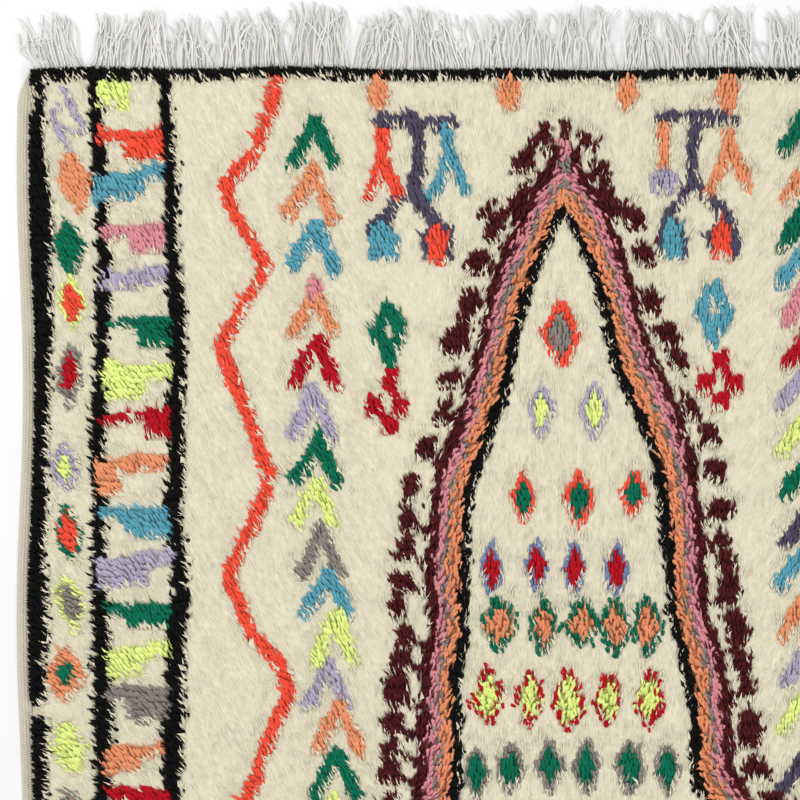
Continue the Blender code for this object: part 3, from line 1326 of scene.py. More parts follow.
def new_piece(
    name: str, vertices: Array, triangles: Array, material: Material
) -> Piece:
    """A smooth mesh object from arrays, riding on the rug.

    Args:
        name: of the piece.
        vertices: places, one row each.
        triangles: vertex numbers, three to a row, anticlockwise from outside.
        material: its finish.

    Returns:
        The object, at the origin.
    """
    mesh = bpy.data.meshes.new(name)
    count = len(triangles)
    mesh.vertices.add(len(vertices))
    mesh.vertices.foreach_set("co", np.ascontiguousarray(vertices, np.float32).ravel())
    mesh.loops.add(3 * count)
    mesh.loops.foreach_set("vertex_index", np.ascontiguousarray(triangles, np.int32).ravel())
    mesh.polygons.add(count)
    mesh.polygons.foreach_set("loop_start", np.arange(0, 3 * count, 3, dtype=np.int32))
    mesh.polygons.foreach_set("use_smooth", np.ones(count, bool))
    mesh.update(calc_edges=True)
    mesh.materials.append(material)
    piece = bpy.data.objects.new(name, mesh)
    bpy.context.scene.collection.objects.link(piece)
    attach(piece, BODY)
    return piece


def set_number(piece: Piece, name: str, values: Array) -> None:
    """Gives a piece a number for each vertex."""
    attribute = piece.data.attributes.new(name, "FLOAT", "POINT")
    attribute.data.foreach_set("value", np.ascontiguousarray(values, np.float32).ravel())


def set_colour(piece: Piece, name: str, colours: Array, domain: str) -> None:
    """Gives a piece a linear colour for each vertex or face corner, as domain says.

    Args:
        piece: the object.
        name: of the attribute.
        colours: linear, one row each.
        domain: POINT or CORNER.
    """
    rgba = np.ones((len(colours), 4), np.float32)
    rgba[:, :3] = colours
    attribute = piece.data.color_attributes.new(name, "FLOAT_COLOR", domain)
    attribute.data.foreach_set("color", rgba.ravel())


def set_map(piece: Piece, name: str, places: Array) -> None:
    """Gives a piece a UV map with a place for each face corner."""
    layer = piece.data.uv_layers.new(name=name, do_init=False)
    layer.data.foreach_set("uv", np.ascontiguousarray(places, np.float32).ravel())


@dataclass(frozen=True)
class LockForm:
    """Form of one lock: a closed tapering body with a three-cornered section, from foot to tip.

    stations are (place along, share of the full girth). The mesh has a foot, left, ridge and right
    corners at each station, and a tip. A hair has one station and no ridge: it is a long sliver with
    four faces.
    """

    stations: tuple[tuple[float, float], ...]
    hair: bool = False

    @property
    def places(self) -> Array:
        """Places along the lock of the foot, each station and the tip."""
        return np.array([0.0, *(place for place, _ in self.stations), 1.0])

    @property
    def corners(self) -> int:
        """Corners at each station."""
        return 2 if self.hair else 3

    @property
    def vertex_count(self) -> int:
        """Vertices in one lock."""
        return 2 + self.corners * len(self.stations)

    def template(self) -> tuple[Array, Array]:
        """One lock's triangles and the flat map of their corners.

        Returns:
            Vertex numbers of each triangle, and for each corner its place across, from 0 to 0.7 over
            the top and on to 1 under it, and along, from 0 to 1.
        """
        places = self.places
        if self.hair:
            v = places[1]
            triangles = [(0, 2, 1), (1, 2, 3), (0, 1, 3), (0, 3, 2)]
            flat = [
                ((0.35, 0), (0.7, v), (0, v)),
                ((0, v), (0.7, v), (0.35, 1)),
                ((0.86, 0), (0.72, v), (0.86, 1)),
                ((0.86, 0), (0.86, 1), (1, v)),
            ]
            return np.array(triangles), np.array(flat, float)
        last = len(self.stations) - 1
        tip = self.vertex_count - 1
        # first corner and second corner in a station, and where each is across
        sides = ((0, 1, 0.0, 0.35), (1, 2, 0.35, 0.7), (2, 0, 0.72, 1.0))
        triangles, corners = [], []
        for first, second, u0, u1 in sides:
            middle = (u0 + u1) / 2
            triangles.append((0, 1 + second, 1 + first))
            corners.append(((middle, 0.0), (u1, places[1]), (u0, places[1])))
            for row in range(last):
                near, far = 1 + 3 * row, 4 + 3 * row
                v0, v1 = places[row + 1], places[row + 2]
                triangles += [(near + first, near + second, far + second)]
                corners += [((u0, v0), (u1, v0), (u1, v1))]
                triangles += [(near + first, far + second, far + first)]
                corners += [((u0, v0), (u1, v1), (u0, v1))]
            end = 1 + 3 * last
            triangles.append((end + first, end + second, tip))
            corners.append(((u0, places[-2]), (u1, places[-2]), (middle, 1.0)))
        return np.array(triangles), np.array(corners)


@dataclass(frozen=True)
class LockStyle:
    """How one kind of pile is knotted, in metres and radians."""

    across: float  # spacing of locks along a row of knots
    row_pitch: float
    width: float
    thickness: float
    length: float
    rise: float  # of the tip over the foot
    foot: float  # of the lock over the ground, below it if negative
    stray: float  # usual random turn of one lock
    bow: float  # usual sideways bow, in shares of the length
    curl: float  # how far the tip dips again, in shares of the rise
    shade: float  # usual random lightness of one lock
    loose: float  # share of the locks that stick out, longer and thinner
    form: LockForm
    pieces: int  # lengthwise pieces that the locks are joined into
    seed: int
    crisp: bool = False  # whether the lock is a flat wisp with sharp sides


LOCK_STYLES: dict[Pile, LockStyle] = {
    Pile.FLEECE: LockStyle(
        across=0.0035, row_pitch=0.0080, width=0.0029, thickness=0.0007, length=0.0195, rise=0.0026,
        foot=-0.0010, stray=0.17, bow=0.13, curl=0.0, shade=0.024, loose=0.05, form=LockForm(((0.5, 1.0),)),
        pieces=5, seed=21, crisp=True,
    ),
    Pile.FELT: LockStyle(
        across=0.0031, row_pitch=0.0088, width=0.0048, thickness=0.0026, length=0.0205, rise=0.0056,
        foot=-0.0012, stray=0.12, bow=0.08, curl=0.0, shade=0.12, loose=0.06, form=LockForm(((0.68, 1.0),)),
        pieces=2, seed=22,
    ),
    Pile.SPUN: LockStyle(
        across=0.0035, row_pitch=0.0084, width=0.0046, thickness=0.0023, length=0.0185, rise=0.0052,
        foot=-0.0014, stray=0.08, bow=0.06, curl=0.12, shade=0.045, loose=0.03,
        form=LockForm(((0.36, 0.95), (0.88, 0.92))), pieces=3, seed=23,
    ),
    Pile.LOOPED: LockStyle(
        across=0.0043, row_pitch=0.0078, width=0.0054, thickness=0.0040, length=0.0168, rise=0.0058,
        foot=-0.0012, stray=0.22, bow=0.19, curl=0.34, shade=0.055, loose=0.02,
        form=LockForm(((0.34, 0.98), (0.86, 0.97))), pieces=2, seed=24,
    ),
}


@dataclass(frozen=True)
class Locks:
    """Many locks of one form, as arrays with a row for each lock."""

    foot: Array  # x, y, z
    turn: Array  # heading, in radians from straight up the rug towards -X
    length: Array
    width: Array
    thickness: Array
    rise: Array
    bow: Array
    curl: float
    colour: Array  # linear red, green, blue

    def chosen(self, which: Array) -> Locks:
        """Only the locks that which picks."""
        rows = ("foot", "turn", "length", "width", "thickness", "rise", "bow")
        return Locks(*(getattr(self, key)[which] for key in rows), self.curl, self.colour[which])

    def heading(self) -> Array:
        """Each lock's level direction."""
        return np.stack([-np.sin(self.turn), np.cos(self.turn)], 1)

    def vertices(self, form: LockForm) -> Array:
        """Places of all vertices.

        A lock's middle line runs out along its heading, bows sideways as a parabola, and rises as the
        0.8 power of the way along, less a dip of the square of the last half. The station's corners
        stand half a width to either side and a thickness above.

        Args:
            form: of one lock.

        Returns:
            Locks by vertices by x, y, z.
        """
        places = form.places
        heading = self.heading()[:, None, :]
        across = np.stack([-heading[..., 1], heading[..., 0]], -1)
        out = self.length[:, None] * places
        aside = (self.bow * self.length)[:, None] * 4 * places * (1 - places)
        line = self.foot[:, None, :2] + out[..., None] * heading + aside[..., None] * across
        dip = self.curl * np.clip(2 * places - 1, 0, 1) ** 2
        height = self.foot[:, 2:] + self.rise[:, None] * (places**0.8 - dip)
        spine = np.concatenate([line, height[..., None]], -1)
        share = np.array([girth for _, girth in form.stations])
        half = (self.width / 2)[:, None, None] * share[:, None] * across
        body = spine[:, 1:-1]
        left, right, ridge = body.copy(), body.copy(), body.copy()
        left[..., :2] += half
        right[..., :2] -= half
        ridge[..., 2] += self.thickness[:, None] * share
        if form.hair:
            left[..., 2] += self.thickness[:, None] / 2
            right[..., 2] += self.thickness[:, None] / 2
        kept = [left, right] if form.hair else [left, ridge, right]
        corners = np.stack(kept, 2).reshape(len(self.foot), -1, 3)
        return np.concatenate([spine[:, :1], corners, spine[:, -1:]], 1)


def lock_piece(
    name: str, locks: Locks, form: LockForm, material: Material, crisp: bool = False
) -> Piece:
    """Joins locks into one piece, with each lock's dye, its place along and its two maps.

    The bake map gives each lock one cell of a square grid. The lock map is in metres, with a random
    start for each lock, so that no two have the same fibres. Crisp locks have sharp sides.

    Args:
        name: of the piece.
        locks: what it is made of.
        form: of one lock.
        material: its finish.
        crisp: whether the locks' sides are sharp.

    Returns:
        The piece.
    """
    count = len(locks.foot)
    triangles, corners = form.template()
    size = form.vertex_count
    all_triangles = (np.arange(count) * size)[:, None, None] + triangles
    piece = new_piece(
        name, locks.vertices(form).reshape(-1, 3), all_triangles.reshape(-1, 3), material
    )
    set_colour(piece, "dye", np.repeat(locks.colour, size, 0), "POINT")
    along = np.concatenate([[0.0], np.repeat(form.places[1:-1], form.corners), [1.0]])
    set_number(piece, "along", np.tile(along, count))
    flat = corners.reshape(1, -1, 2)
    cells = math.ceil(math.sqrt(count))
    number = np.arange(count)
    cell = np.stack([number % cells, number // cells], 1)[:, None, :]
    set_map(piece, BAKE_MAP, (cell + 0.06 + 0.88 * flat) / cells)
    start = np.random.default_rng(count).uniform(0, 4, (count, 1, 2))
    girth = np.stack([1.9 * locks.width, locks.length], 1)[:, None, :]
    set_map(piece, LOCK_MAP, start + flat * girth)
    if crisp:
        piece.data.set_sharp_from_angle(angle=math.radians(100))
    return piece


def dyes() -> Array:
    """Linear colours of all yarns, in the order of their numbers."""
    return np.array([linear(yarn.value[:3]) for yarn in Yarn])


@dataclass(frozen=True)
class Ground:
    """The knotted ground: a closed sheet with matted wool above and the knots' backs below."""

    columns: tuple[int, int] = (150, 32)  # in the finer left part and in the rest
    rows: tuple[int, int] = (110, 144)  # in the lower part and in the finer upper one
    split: tuple[float, float] = (0.745, 0.550)  # shares across and along, where the two parts meet
    fleece_top: float = 0.0106
    dyed_top: float = 0.0092
    rim: float = 0.0040
    rim_run: float = 0.011
    lump: float = 0.0007
    painted_gap_shades: tuple[float, ...] = (0.98, 0.85, 0.76, 0.66)  # painted shade of the upper side, for each kind of pile, for the shade in the gaps between locks

    def height(self, x: Array, y: Array, top: float) -> Array:
        """Height of the upper side: low at the rim, then a top with broad and small lumps.

        Args:
            x: places across.
            y: places along.
            top: usual height, away from the rim.

        Returns:
            The height at each place.
        """
        inside = np.minimum(
            np.minimum(x - OUTLINE.side(y, Side.LEFT), OUTLINE.side(y, Side.RIGHT) - x),
            np.minimum(y - OUTLINE.end(x, End.BOTTOM), OUTLINE.end(x, End.TOP) - y),
        )
        lumps = wander(x, y, 0.120, self.lump, 31) + wander(x, y, 0.034, 0.7 * self.lump, 32)
        return self.rim + (top - self.rim + lumps) * ramp(inside, -0.004, self.rim_run)

    def build(self, material: Material) -> Piece:
        """Builds the sheet: a grid above and one below, joined by a rim of quads round their borders.

        Above, the dye runs from vertex to vertex, darkened as painted shade in the gaps between locks; below,
        each face has its own, so that knots are square.

        Args:
            material: its finish.

        Returns:
            The sheet.
        """
        u_lines, v_lines = (
            np.interp(np.arange(sum(parts) + 1), [0, parts[0], sum(parts)], [0, split, 1])
            for parts, split in zip((self.columns, self.rows), self.split)
        )
        columns, rows = sum(self.columns), sum(self.rows)
        u, v = np.meshgrid(u_lines, v_lines)
        x, y = (values.ravel() for values in OUTLINE.place(u, v))
        yarn, pile = CHART.read(x, y)
        height = np.where(
            pile == Pile.FLEECE, self.height(x, y, self.fleece_top), self.height(x, y, self.dyed_top)
        )
        vertices = np.concatenate([np.stack([x, y, height], 1), np.stack([x, y, 0 * x], 1)])
        # painted shade: the upper side shows in the gaps between locks, so its dye is darkened there, most
        # under dyed pile
        above = dyes()[yarn] * np.array(self.painted_gap_shades)[pile][:, None]

        wide = columns + 1
        row, column = (grid.ravel() for grid in np.indices((rows, columns)))
        corner = row * wide + column
        top = np.stack([corner, corner + 1, corner + wide + 1, corner + wide], 1)
        along, up = np.arange(columns), np.arange(rows)
        border = np.concatenate(
            [along, columns + up * wide, rows * wide + columns - along, (rows - up) * wide]
        )
        after = np.roll(border, -1)
        below = len(x)
        rim = np.stack([border + below, after + below, after, border], 1)
        quads = np.concatenate([top, rim, top[:, ::-1] + below])
        triangles = quads[:, [0, 1, 2, 0, 2, 3]].reshape(-1, 3)

        middle_u, middle_v = (lines[:-1] + np.diff(lines) / 2 for lines in (u_lines, v_lines))
        middle_x, middle_y = OUTLINE.place(middle_u[column], middle_v[row])
        backs = dyes()[CHART.read(middle_x, middle_y)[0]]
        upper = above[triangles[: 2 * (len(top) + len(rim))] % below]
        colours = np.concatenate([upper.reshape(-1, 3), np.repeat(backs, 6, 0)])
        piece = new_piece("knotted_ground", vertices, triangles, material)
        set_colour(piece, "dye", colours, "CORNER")
        under = piece.data.attributes.new("under", "FLOAT", "FACE")
        under.data.foreach_set("value", (np.arange(len(triangles)) >= 2 * len(top)).astype(np.float32))
        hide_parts("knotted_cloth")
        return piece


@dataclass(frozen=True)
class Shag:
    """The pile: locks of wool in rows, all lying up the rug, each over the feet of the next row."""

    ground: Ground
    tip_share: float = 0.78  # of a lock's length, where it shows its colour
    overhang: float = 0.0060  # of the tips, out over an edge
    lean_places: tuple[float, ...] = (-0.76, -0.60, -0.45, -0.30, -0.12, 0.10, 0.30, 0.50, 0.76)
    lean_degrees: tuple[float, ...] = (29, 30, 33, 27, 9, 1, -2, -16, -28)
    side_lean: float = 24.0  # degrees more, outwards, towards the middle of each long side
    open_share: float = 0.18  # of the fleece's locks, away from dyed wool
    edge_share: float = 0.80  # of them beside it
    late_start: float = 0.33  # of the length, for a lock whose foot would lie in another colour
    edge_reach: float = 0.010  # how far from dyed wool the fleece is thick
    coarse_share: float = 0.68  # of the locks, wider, where the rug isn't seen from near

    def lean(self, x: Array, y: Array) -> Array:
        """Heading of the pile: a table across the rug, more at the long sides, and locks in swirls.

        Args:
            x: places across.
            y: places along.

        Returns:
            Headings, in radians.
        """
        drop = OUTLINE.half_length - np.abs(y)
        degrees = np.interp(x, self.lean_places, self.lean_degrees)
        at_side = ramp(np.abs(x), 0.50, 0.68) * ramp(drop, 0.1, 0.85)
        degrees = degrees - np.sign(x) * self.side_lean * at_side
        degrees = degrees + wander(x, y, 0.150, 4.5, 41) + wander(x, y, 0.036, 6.0, 42)
        along, hold = CHART.medallion.heading(x, drop)
        return np.radians(degrees) * (1 - hold) + along * hold

    def fineness(self, x: Array, y: Array) -> Array:
        """Share of the locks at each place: all in the upper left part, fewer in the rest."""
        near = (1 - ramp(x, 0.36, 0.42)) * ramp(y, 0.08, 0.14)
        return self.coarse_share + (1 - self.coarse_share) * near

    def shortened(self, x: Array, y: Array, turn: Array, length: Array) -> Array:
        """Lengths that stop a little beyond the edge a lock leans over, and are never below a third.

        Args:
            x: places across.
            y: places along.
            turn: headings.
            length: full lengths.

        Returns:
            The lengths.
        """
        left = (x - OUTLINE.side(y, Side.LEFT)) / np.maximum(np.sin(turn), 0.02)
        right = (OUTLINE.side(y, Side.RIGHT) - x) / np.maximum(-np.sin(turn), 0.02)
        ahead = (OUTLINE.end(x, End.TOP) - y) / np.maximum(np.cos(turn), 0.2)
        room = np.minimum(np.minimum(left, right), ahead) + self.overhang
        return np.minimum(length, np.maximum(room, length / 3))

    def beside_dyed(self, x: Array, y: Array) -> Array:
        """Whether there is dyed wool a reach away to the left, right, top or bottom.

        Args:
            x: places across.
            y: places along.

        Returns:
            True where there is.
        """
        reach = self.edge_reach
        return np.any(
            [
                CHART.read(x + reach * aside, y + reach * ahead)[1] != Pile.FLEECE
                for aside, ahead in ((-1, 0), (1, 0), (0, -1), (0, 1))
            ],
            0,
        )

    def grow(self, kind: Pile, style: LockStyle) -> Locks:
        """All locks of one kind, where the chart has it.

        Rows of feet run across the rug. A lock is dyed by the chart at the place where it shows, as seen
        from its own knot, so that motifs step from row to row. A lock whose foot would lie in another
        colour starts further on.

        Args:
            kind: of pile.
            style: how it is knotted.

        Returns:
            The locks.
        """
        draw = np.random.default_rng(style.seed)
        rows = np.arange(-OUTLINE.half_length + 0.002, OUTLINE.half_length, style.row_pitch)
        columns = np.arange(-OUTLINE.half_pile, OUTLINE.half_pile, style.across)
        y, x = (grid.ravel() for grid in np.meshgrid(rows, columns, indexing="ij"))
        x = x + style.across * 0.5 * np.repeat(np.arange(len(rows)) % 2, len(columns))
        main_turn = self.lean(x, y)
        shown = self.tip_share * style.length
        yarn, pile = CHART.read(x - shown * np.sin(main_turn), y + shown * np.cos(main_turn))
        x = x + style.across * draw.uniform(-0.2, 0.2, x.shape)
        y = y + wander(x, y, 0.060, 0.0009, 43) + draw.uniform(-0.0012, 0.0012, x.shape)
        keep = (pile == int(kind)) & (x > OUTLINE.side(y, Side.LEFT) + 0.001)
        keep &= (x < OUTLINE.side(y, Side.RIGHT) - 0.001) & (y < OUTLINE.end(x, End.TOP) - 0.002)
        keep &= y > OUTLINE.end(x, End.BOTTOM) + 0.001
        fineness = self.fineness(x, y)
        share = fineness.copy()
        open_field = np.zeros(x.shape, bool)
        if kind is Pile.FLEECE:
            open_field = ~self.beside_dyed(x, y)
            share *= np.where(open_field, self.open_share, self.edge_share)
        keep &= draw.uniform(0, 1, x.shape) < share
        row = np.repeat(np.arange(len(rows)), len(columns))[keep]
        x, y, yarn, turn = x[keep], y[keep], yarn[keep], main_turn[keep]
        fineness, open_field = fineness[keep], open_field[keep]
        count = len(x)
        turn = turn + draw.normal(0, style.stray, count)
        if kind is Pile.LOOPED:
            turn = turn + np.radians(wander(x, y, 0.026, 9.0, 44))
        loose = draw.uniform(0, 1, count) < style.loose
        length = style.length * draw.uniform(0.90, 1.07, count) * np.where(loose, 1.25, 1)
        if kind is Pile.FELT:  # every other row stands out in points
            strong = row % 2 == 0
            length = length * np.where(strong, 1.16, 0.90)
            turn = turn + math.radians(6) * np.sign(turn) * strong
        length = self.shortened(x, y, turn, length)
        width = style.width * draw.uniform(0.86, 1.15, count) * np.where(loose, 0.5, 1) / fineness
        under, _ = CHART.read(x - 0.15 * length * np.sin(turn), y + 0.15 * length * np.cos(turn))
        start = self.late_start * (under != yarn)
        x, y = x - start * length * np.sin(turn), y + start * length * np.cos(turn)
        length = length * (1 - start)
        if kind is Pile.FLEECE:  # only thin tips lie over dyed wool
            _, over = CHART.read(x - length * np.sin(turn), y + length * np.cos(turn))
            width = width * np.where(over != Pile.FLEECE, 0.45, 1)
        shade = np.clip(1 + draw.normal(0, style.shade, count), 0.6, 1.35)
        tops = self.ground.fleece_top if kind is Pile.FLEECE else self.ground.dyed_top
        return Locks(
            foot=np.stack([x, y, self.ground.height(x, y, tops) + style.foot], 1),
            turn=turn,
            length=length,
            width=width,
            thickness=style.thickness * draw.uniform(0.8, 1.2, count) * np.where(open_field, 0.6, 1),
            rise=style.rise
            * np.sqrt(np.minimum(length / style.length, 1))
            * draw.uniform(0.86, 1.08, count)
            * np.where(open_field, 0.45, 1),
            bow=draw.normal(0, style.bow, count),
            curl=style.curl,
            colour=dyes()[yarn] * shade[:, None],
        )

    def build(self, kind: Pile, material: Material) -> list[Piece]:
        """Builds one kind's pieces, each a lengthwise strip with about as many locks as the others.

        Args:
            kind: of pile.
            material: its finish.

        Returns:
            The pieces.
        """
        style = LOCK_STYLES[kind]
        locks = self.grow(kind, style)
        strips = np.array_split(np.argsort(locks.foot[:, 0], kind="stable"), style.pieces)
        name = f"pile_{kind.name.lower()}"
        return [
            lock_piece(f"{name}_{number}", locks.chosen(strip), style.form, material, style.crisp)
            for number, strip in enumerate(strips, 1)
        ]


@dataclass(frozen=True)
class Strays:
    """Loose wool: hairs that lie over the next colour's locks, and dark tufts at the top end."""

    ground: Ground
    shag: Shag
    tries: int = 190000
    dark_share: float = 0.20  # of the hairs that come out of dyed wool
    tufts: int = 900
    flecks: tuple[tuple[float, float], ...] = ((-0.535, 1.053), (-0.665, 0.352))
    hair_form: LockForm = LockForm(((0.45, 1.0),), hair=True)
    tuft_form: LockForm = LockForm(((0.5, 1.0),))

    def hairs(self) -> Locks:
        """Fine hairs with their feet in one colour and their tips over another.

        Returns:
            The hairs.
        """
        draw = np.random.default_rng(51)
        u, v = draw.uniform(0.003, 0.997, (2, self.tries))
        x, y = OUTLINE.place(u, v)
        turn = self.shag.lean(x, y) + draw.normal(0, 0.24, self.tries)
        length = draw.uniform(0.008, 0.018, self.tries)
        yarn, pile = CHART.read(x, y)
        over, _ = CHART.read(x - 0.7 * length * np.sin(turn), y + 0.7 * length * np.cos(turn))
        share = self.shag.fineness(x, y) ** 2 * np.where(pile == Pile.FLEECE, 1, self.dark_share)
        keep = (yarn != over) & (draw.uniform(0, 1, self.tries) < share)
        top = np.where(pile == Pile.FLEECE, self.ground.fleece_top, self.ground.dyed_top + 0.0022)
        locks = Locks(
            foot=np.stack([x, y, self.ground.height(x, y, top)], 1),
            turn=turn,
            length=self.shag.shortened(x, y, turn, length),
            width=draw.uniform(0.0005, 0.0011, self.tries),
            thickness=np.full(self.tries, 0.0004),
            rise=draw.uniform(0.0026, 0.0046, self.tries),
            bow=draw.normal(0, 0.15, self.tries),
            curl=0.1,
            colour=dyes()[yarn],
        )
        return locks.chosen(keep)

    def tuft_locks(self) -> Locks:
        """Short black tufts that point out over the fringe at the top end, and the two dark flecks.

        Returns:
            The tufts and flecks.
        """
        draw = np.random.default_rng(52)
        x = draw.uniform(-OUTLINE.half_pile + 0.012, OUTLINE.half_pile - 0.012, self.tufts)
        y = OUTLINE.end(x, End.TOP) - draw.uniform(0.001, 0.006, self.tufts)
        spots = np.repeat(np.array(self.flecks), 7, 0) + draw.normal(0, 0.0012, (7 * len(self.flecks), 2))
        x, y = np.concatenate([x, spots[:, 0]]), np.concatenate([y, spots[:, 1]])
        count = len(x)
        fleck = np.arange(count) >= self.tufts
        lift = np.where(fleck, 0.0032, 0.0010)
        return Locks(
            foot=np.stack([x, y, self.ground.height(x, y, self.ground.dyed_top) + lift], 1),
            turn=draw.normal(0, 0.5, count) * np.where(fleck, 2.2, 1),
            length=draw.uniform(0.006, 0.011, count) * np.where(fleck, 0.45, 1),
            width=draw.uniform(0.0018, 0.0038, count),
            thickness=np.full(count, 0.0016),
            rise=draw.uniform(-0.001, 0.003, count),
            bow=draw.normal(0, 0.15, count),
            curl=0.0,
            colour=np.tile(linear(Yarn.BLACK.value[:3]), (count, 1)),
        )

    def build(self, fleece: Material, felt: Material) -> list[Piece]:
        """Builds the hairs and the tufts as two pieces.

        Args:
            fleece: finish of the hairs.
            felt: finish of the tufts.

        Returns:
            The pieces.
        """
        return [
            lock_piece("stray_hairs", self.hairs(), self.hair_form, fleece, True),
            lock_piece("end_tufts", self.tuft_locks(), self.tuft_form, felt),
        ]


def tube_faces(rings: int, sides: int) -> Array:
    """Triangles of one closed tube: rings of vertices, then a vertex at its start and one at its end.

    Ring vertices run clockwise seen from the tube's start, so that faces point outwards.

    Args:
        rings: of vertices.
        sides: vertices in a ring.

    Returns:
        Vertex numbers, three to a row.
    """
    ring, side = (grid.ravel() for grid in np.indices((rings - 1, sides)))
    after = (side + 1) % sides
    near, far = ring * sides, (ring + 1) * sides
    walls = np.concatenate(
        [
            np.stack([near + side, far + side, far + after], 1),
            np.stack([near + side, far + after, near + after], 1),
        ]
    )
    around = np.arange(sides)
    beside = (around + 1) % sides
    last = (rings - 1) * sides
    start = np.stack([np.full(sides, rings * sides), around, beside], 1)
    finish = np.stack([np.full(sides, rings * sides + 1), last + beside, last + around], 1)
    return np.concatenate([walls, start, finish])


def tubes(paths: Array, radius: Array, sides: int, lobes: Array | None = None) -> tuple[Array, Array, Array]:
    """Closed round tubes carried along level paths.

    Each ring stands square to the path's level direction: its vertices are the middle plus the radius
    times (cosine across, sine up).

    Args:
        paths: tubes by rings by x, y, z.
        radius: tubes by rings.
        sides: of a ring.
        lobes: optional factor on the radius, tubes by rings by sides.

    Returns:
        Vertices, triangles, and for each triangle corner the turn share and ring share round and along.
    """
    count, rings, _ = paths.shape
    ahead = np.gradient(paths, axis=1)[..., :2]
    ahead /= np.linalg.norm(ahead, axis=-1, keepdims=True)
    across = np.stack([ahead[..., 1], -ahead[..., 0]], -1)
    turn = TURN * np.arange(sides) / sides
    size = radius[..., None] * (1 if lobes is None else lobes)
    wide = size * np.cos(turn)
    up = size * np.sin(turn)
    level = paths[:, :, None, :2] + wide[..., None] * across[:, :, None, :]
    height = paths[:, :, None, 2:] + up[..., None]
    body = np.concatenate([level, height], -1).reshape(count, rings * sides, 3)
    vertices = np.concatenate([body, paths[:, :1], paths[:, -1:]], 1)
    faces = tube_faces(rings, sides)
    ring_of = np.concatenate([np.repeat(np.arange(rings), sides) / (rings - 1), [0.0, 1.0]])
    turn_of = np.concatenate([np.tile(np.arange(sides) / sides, rings), [0.0, 0.0]])
    round_share = turn_of[faces]
    split = round_share.max(1, keepdims=True) - round_share > 0.5  # the seam goes on past one turn
    round_share = round_share + split
    corner = np.stack([round_share, ring_of[faces]], -1)
    step = rings * sides + 2
    triangles = (np.arange(count) * step)[:, None, None] + faces
    return vertices.reshape(-1, 3), triangles.reshape(-1, 3), np.broadcast_to(corner, (count, *corner.shape))


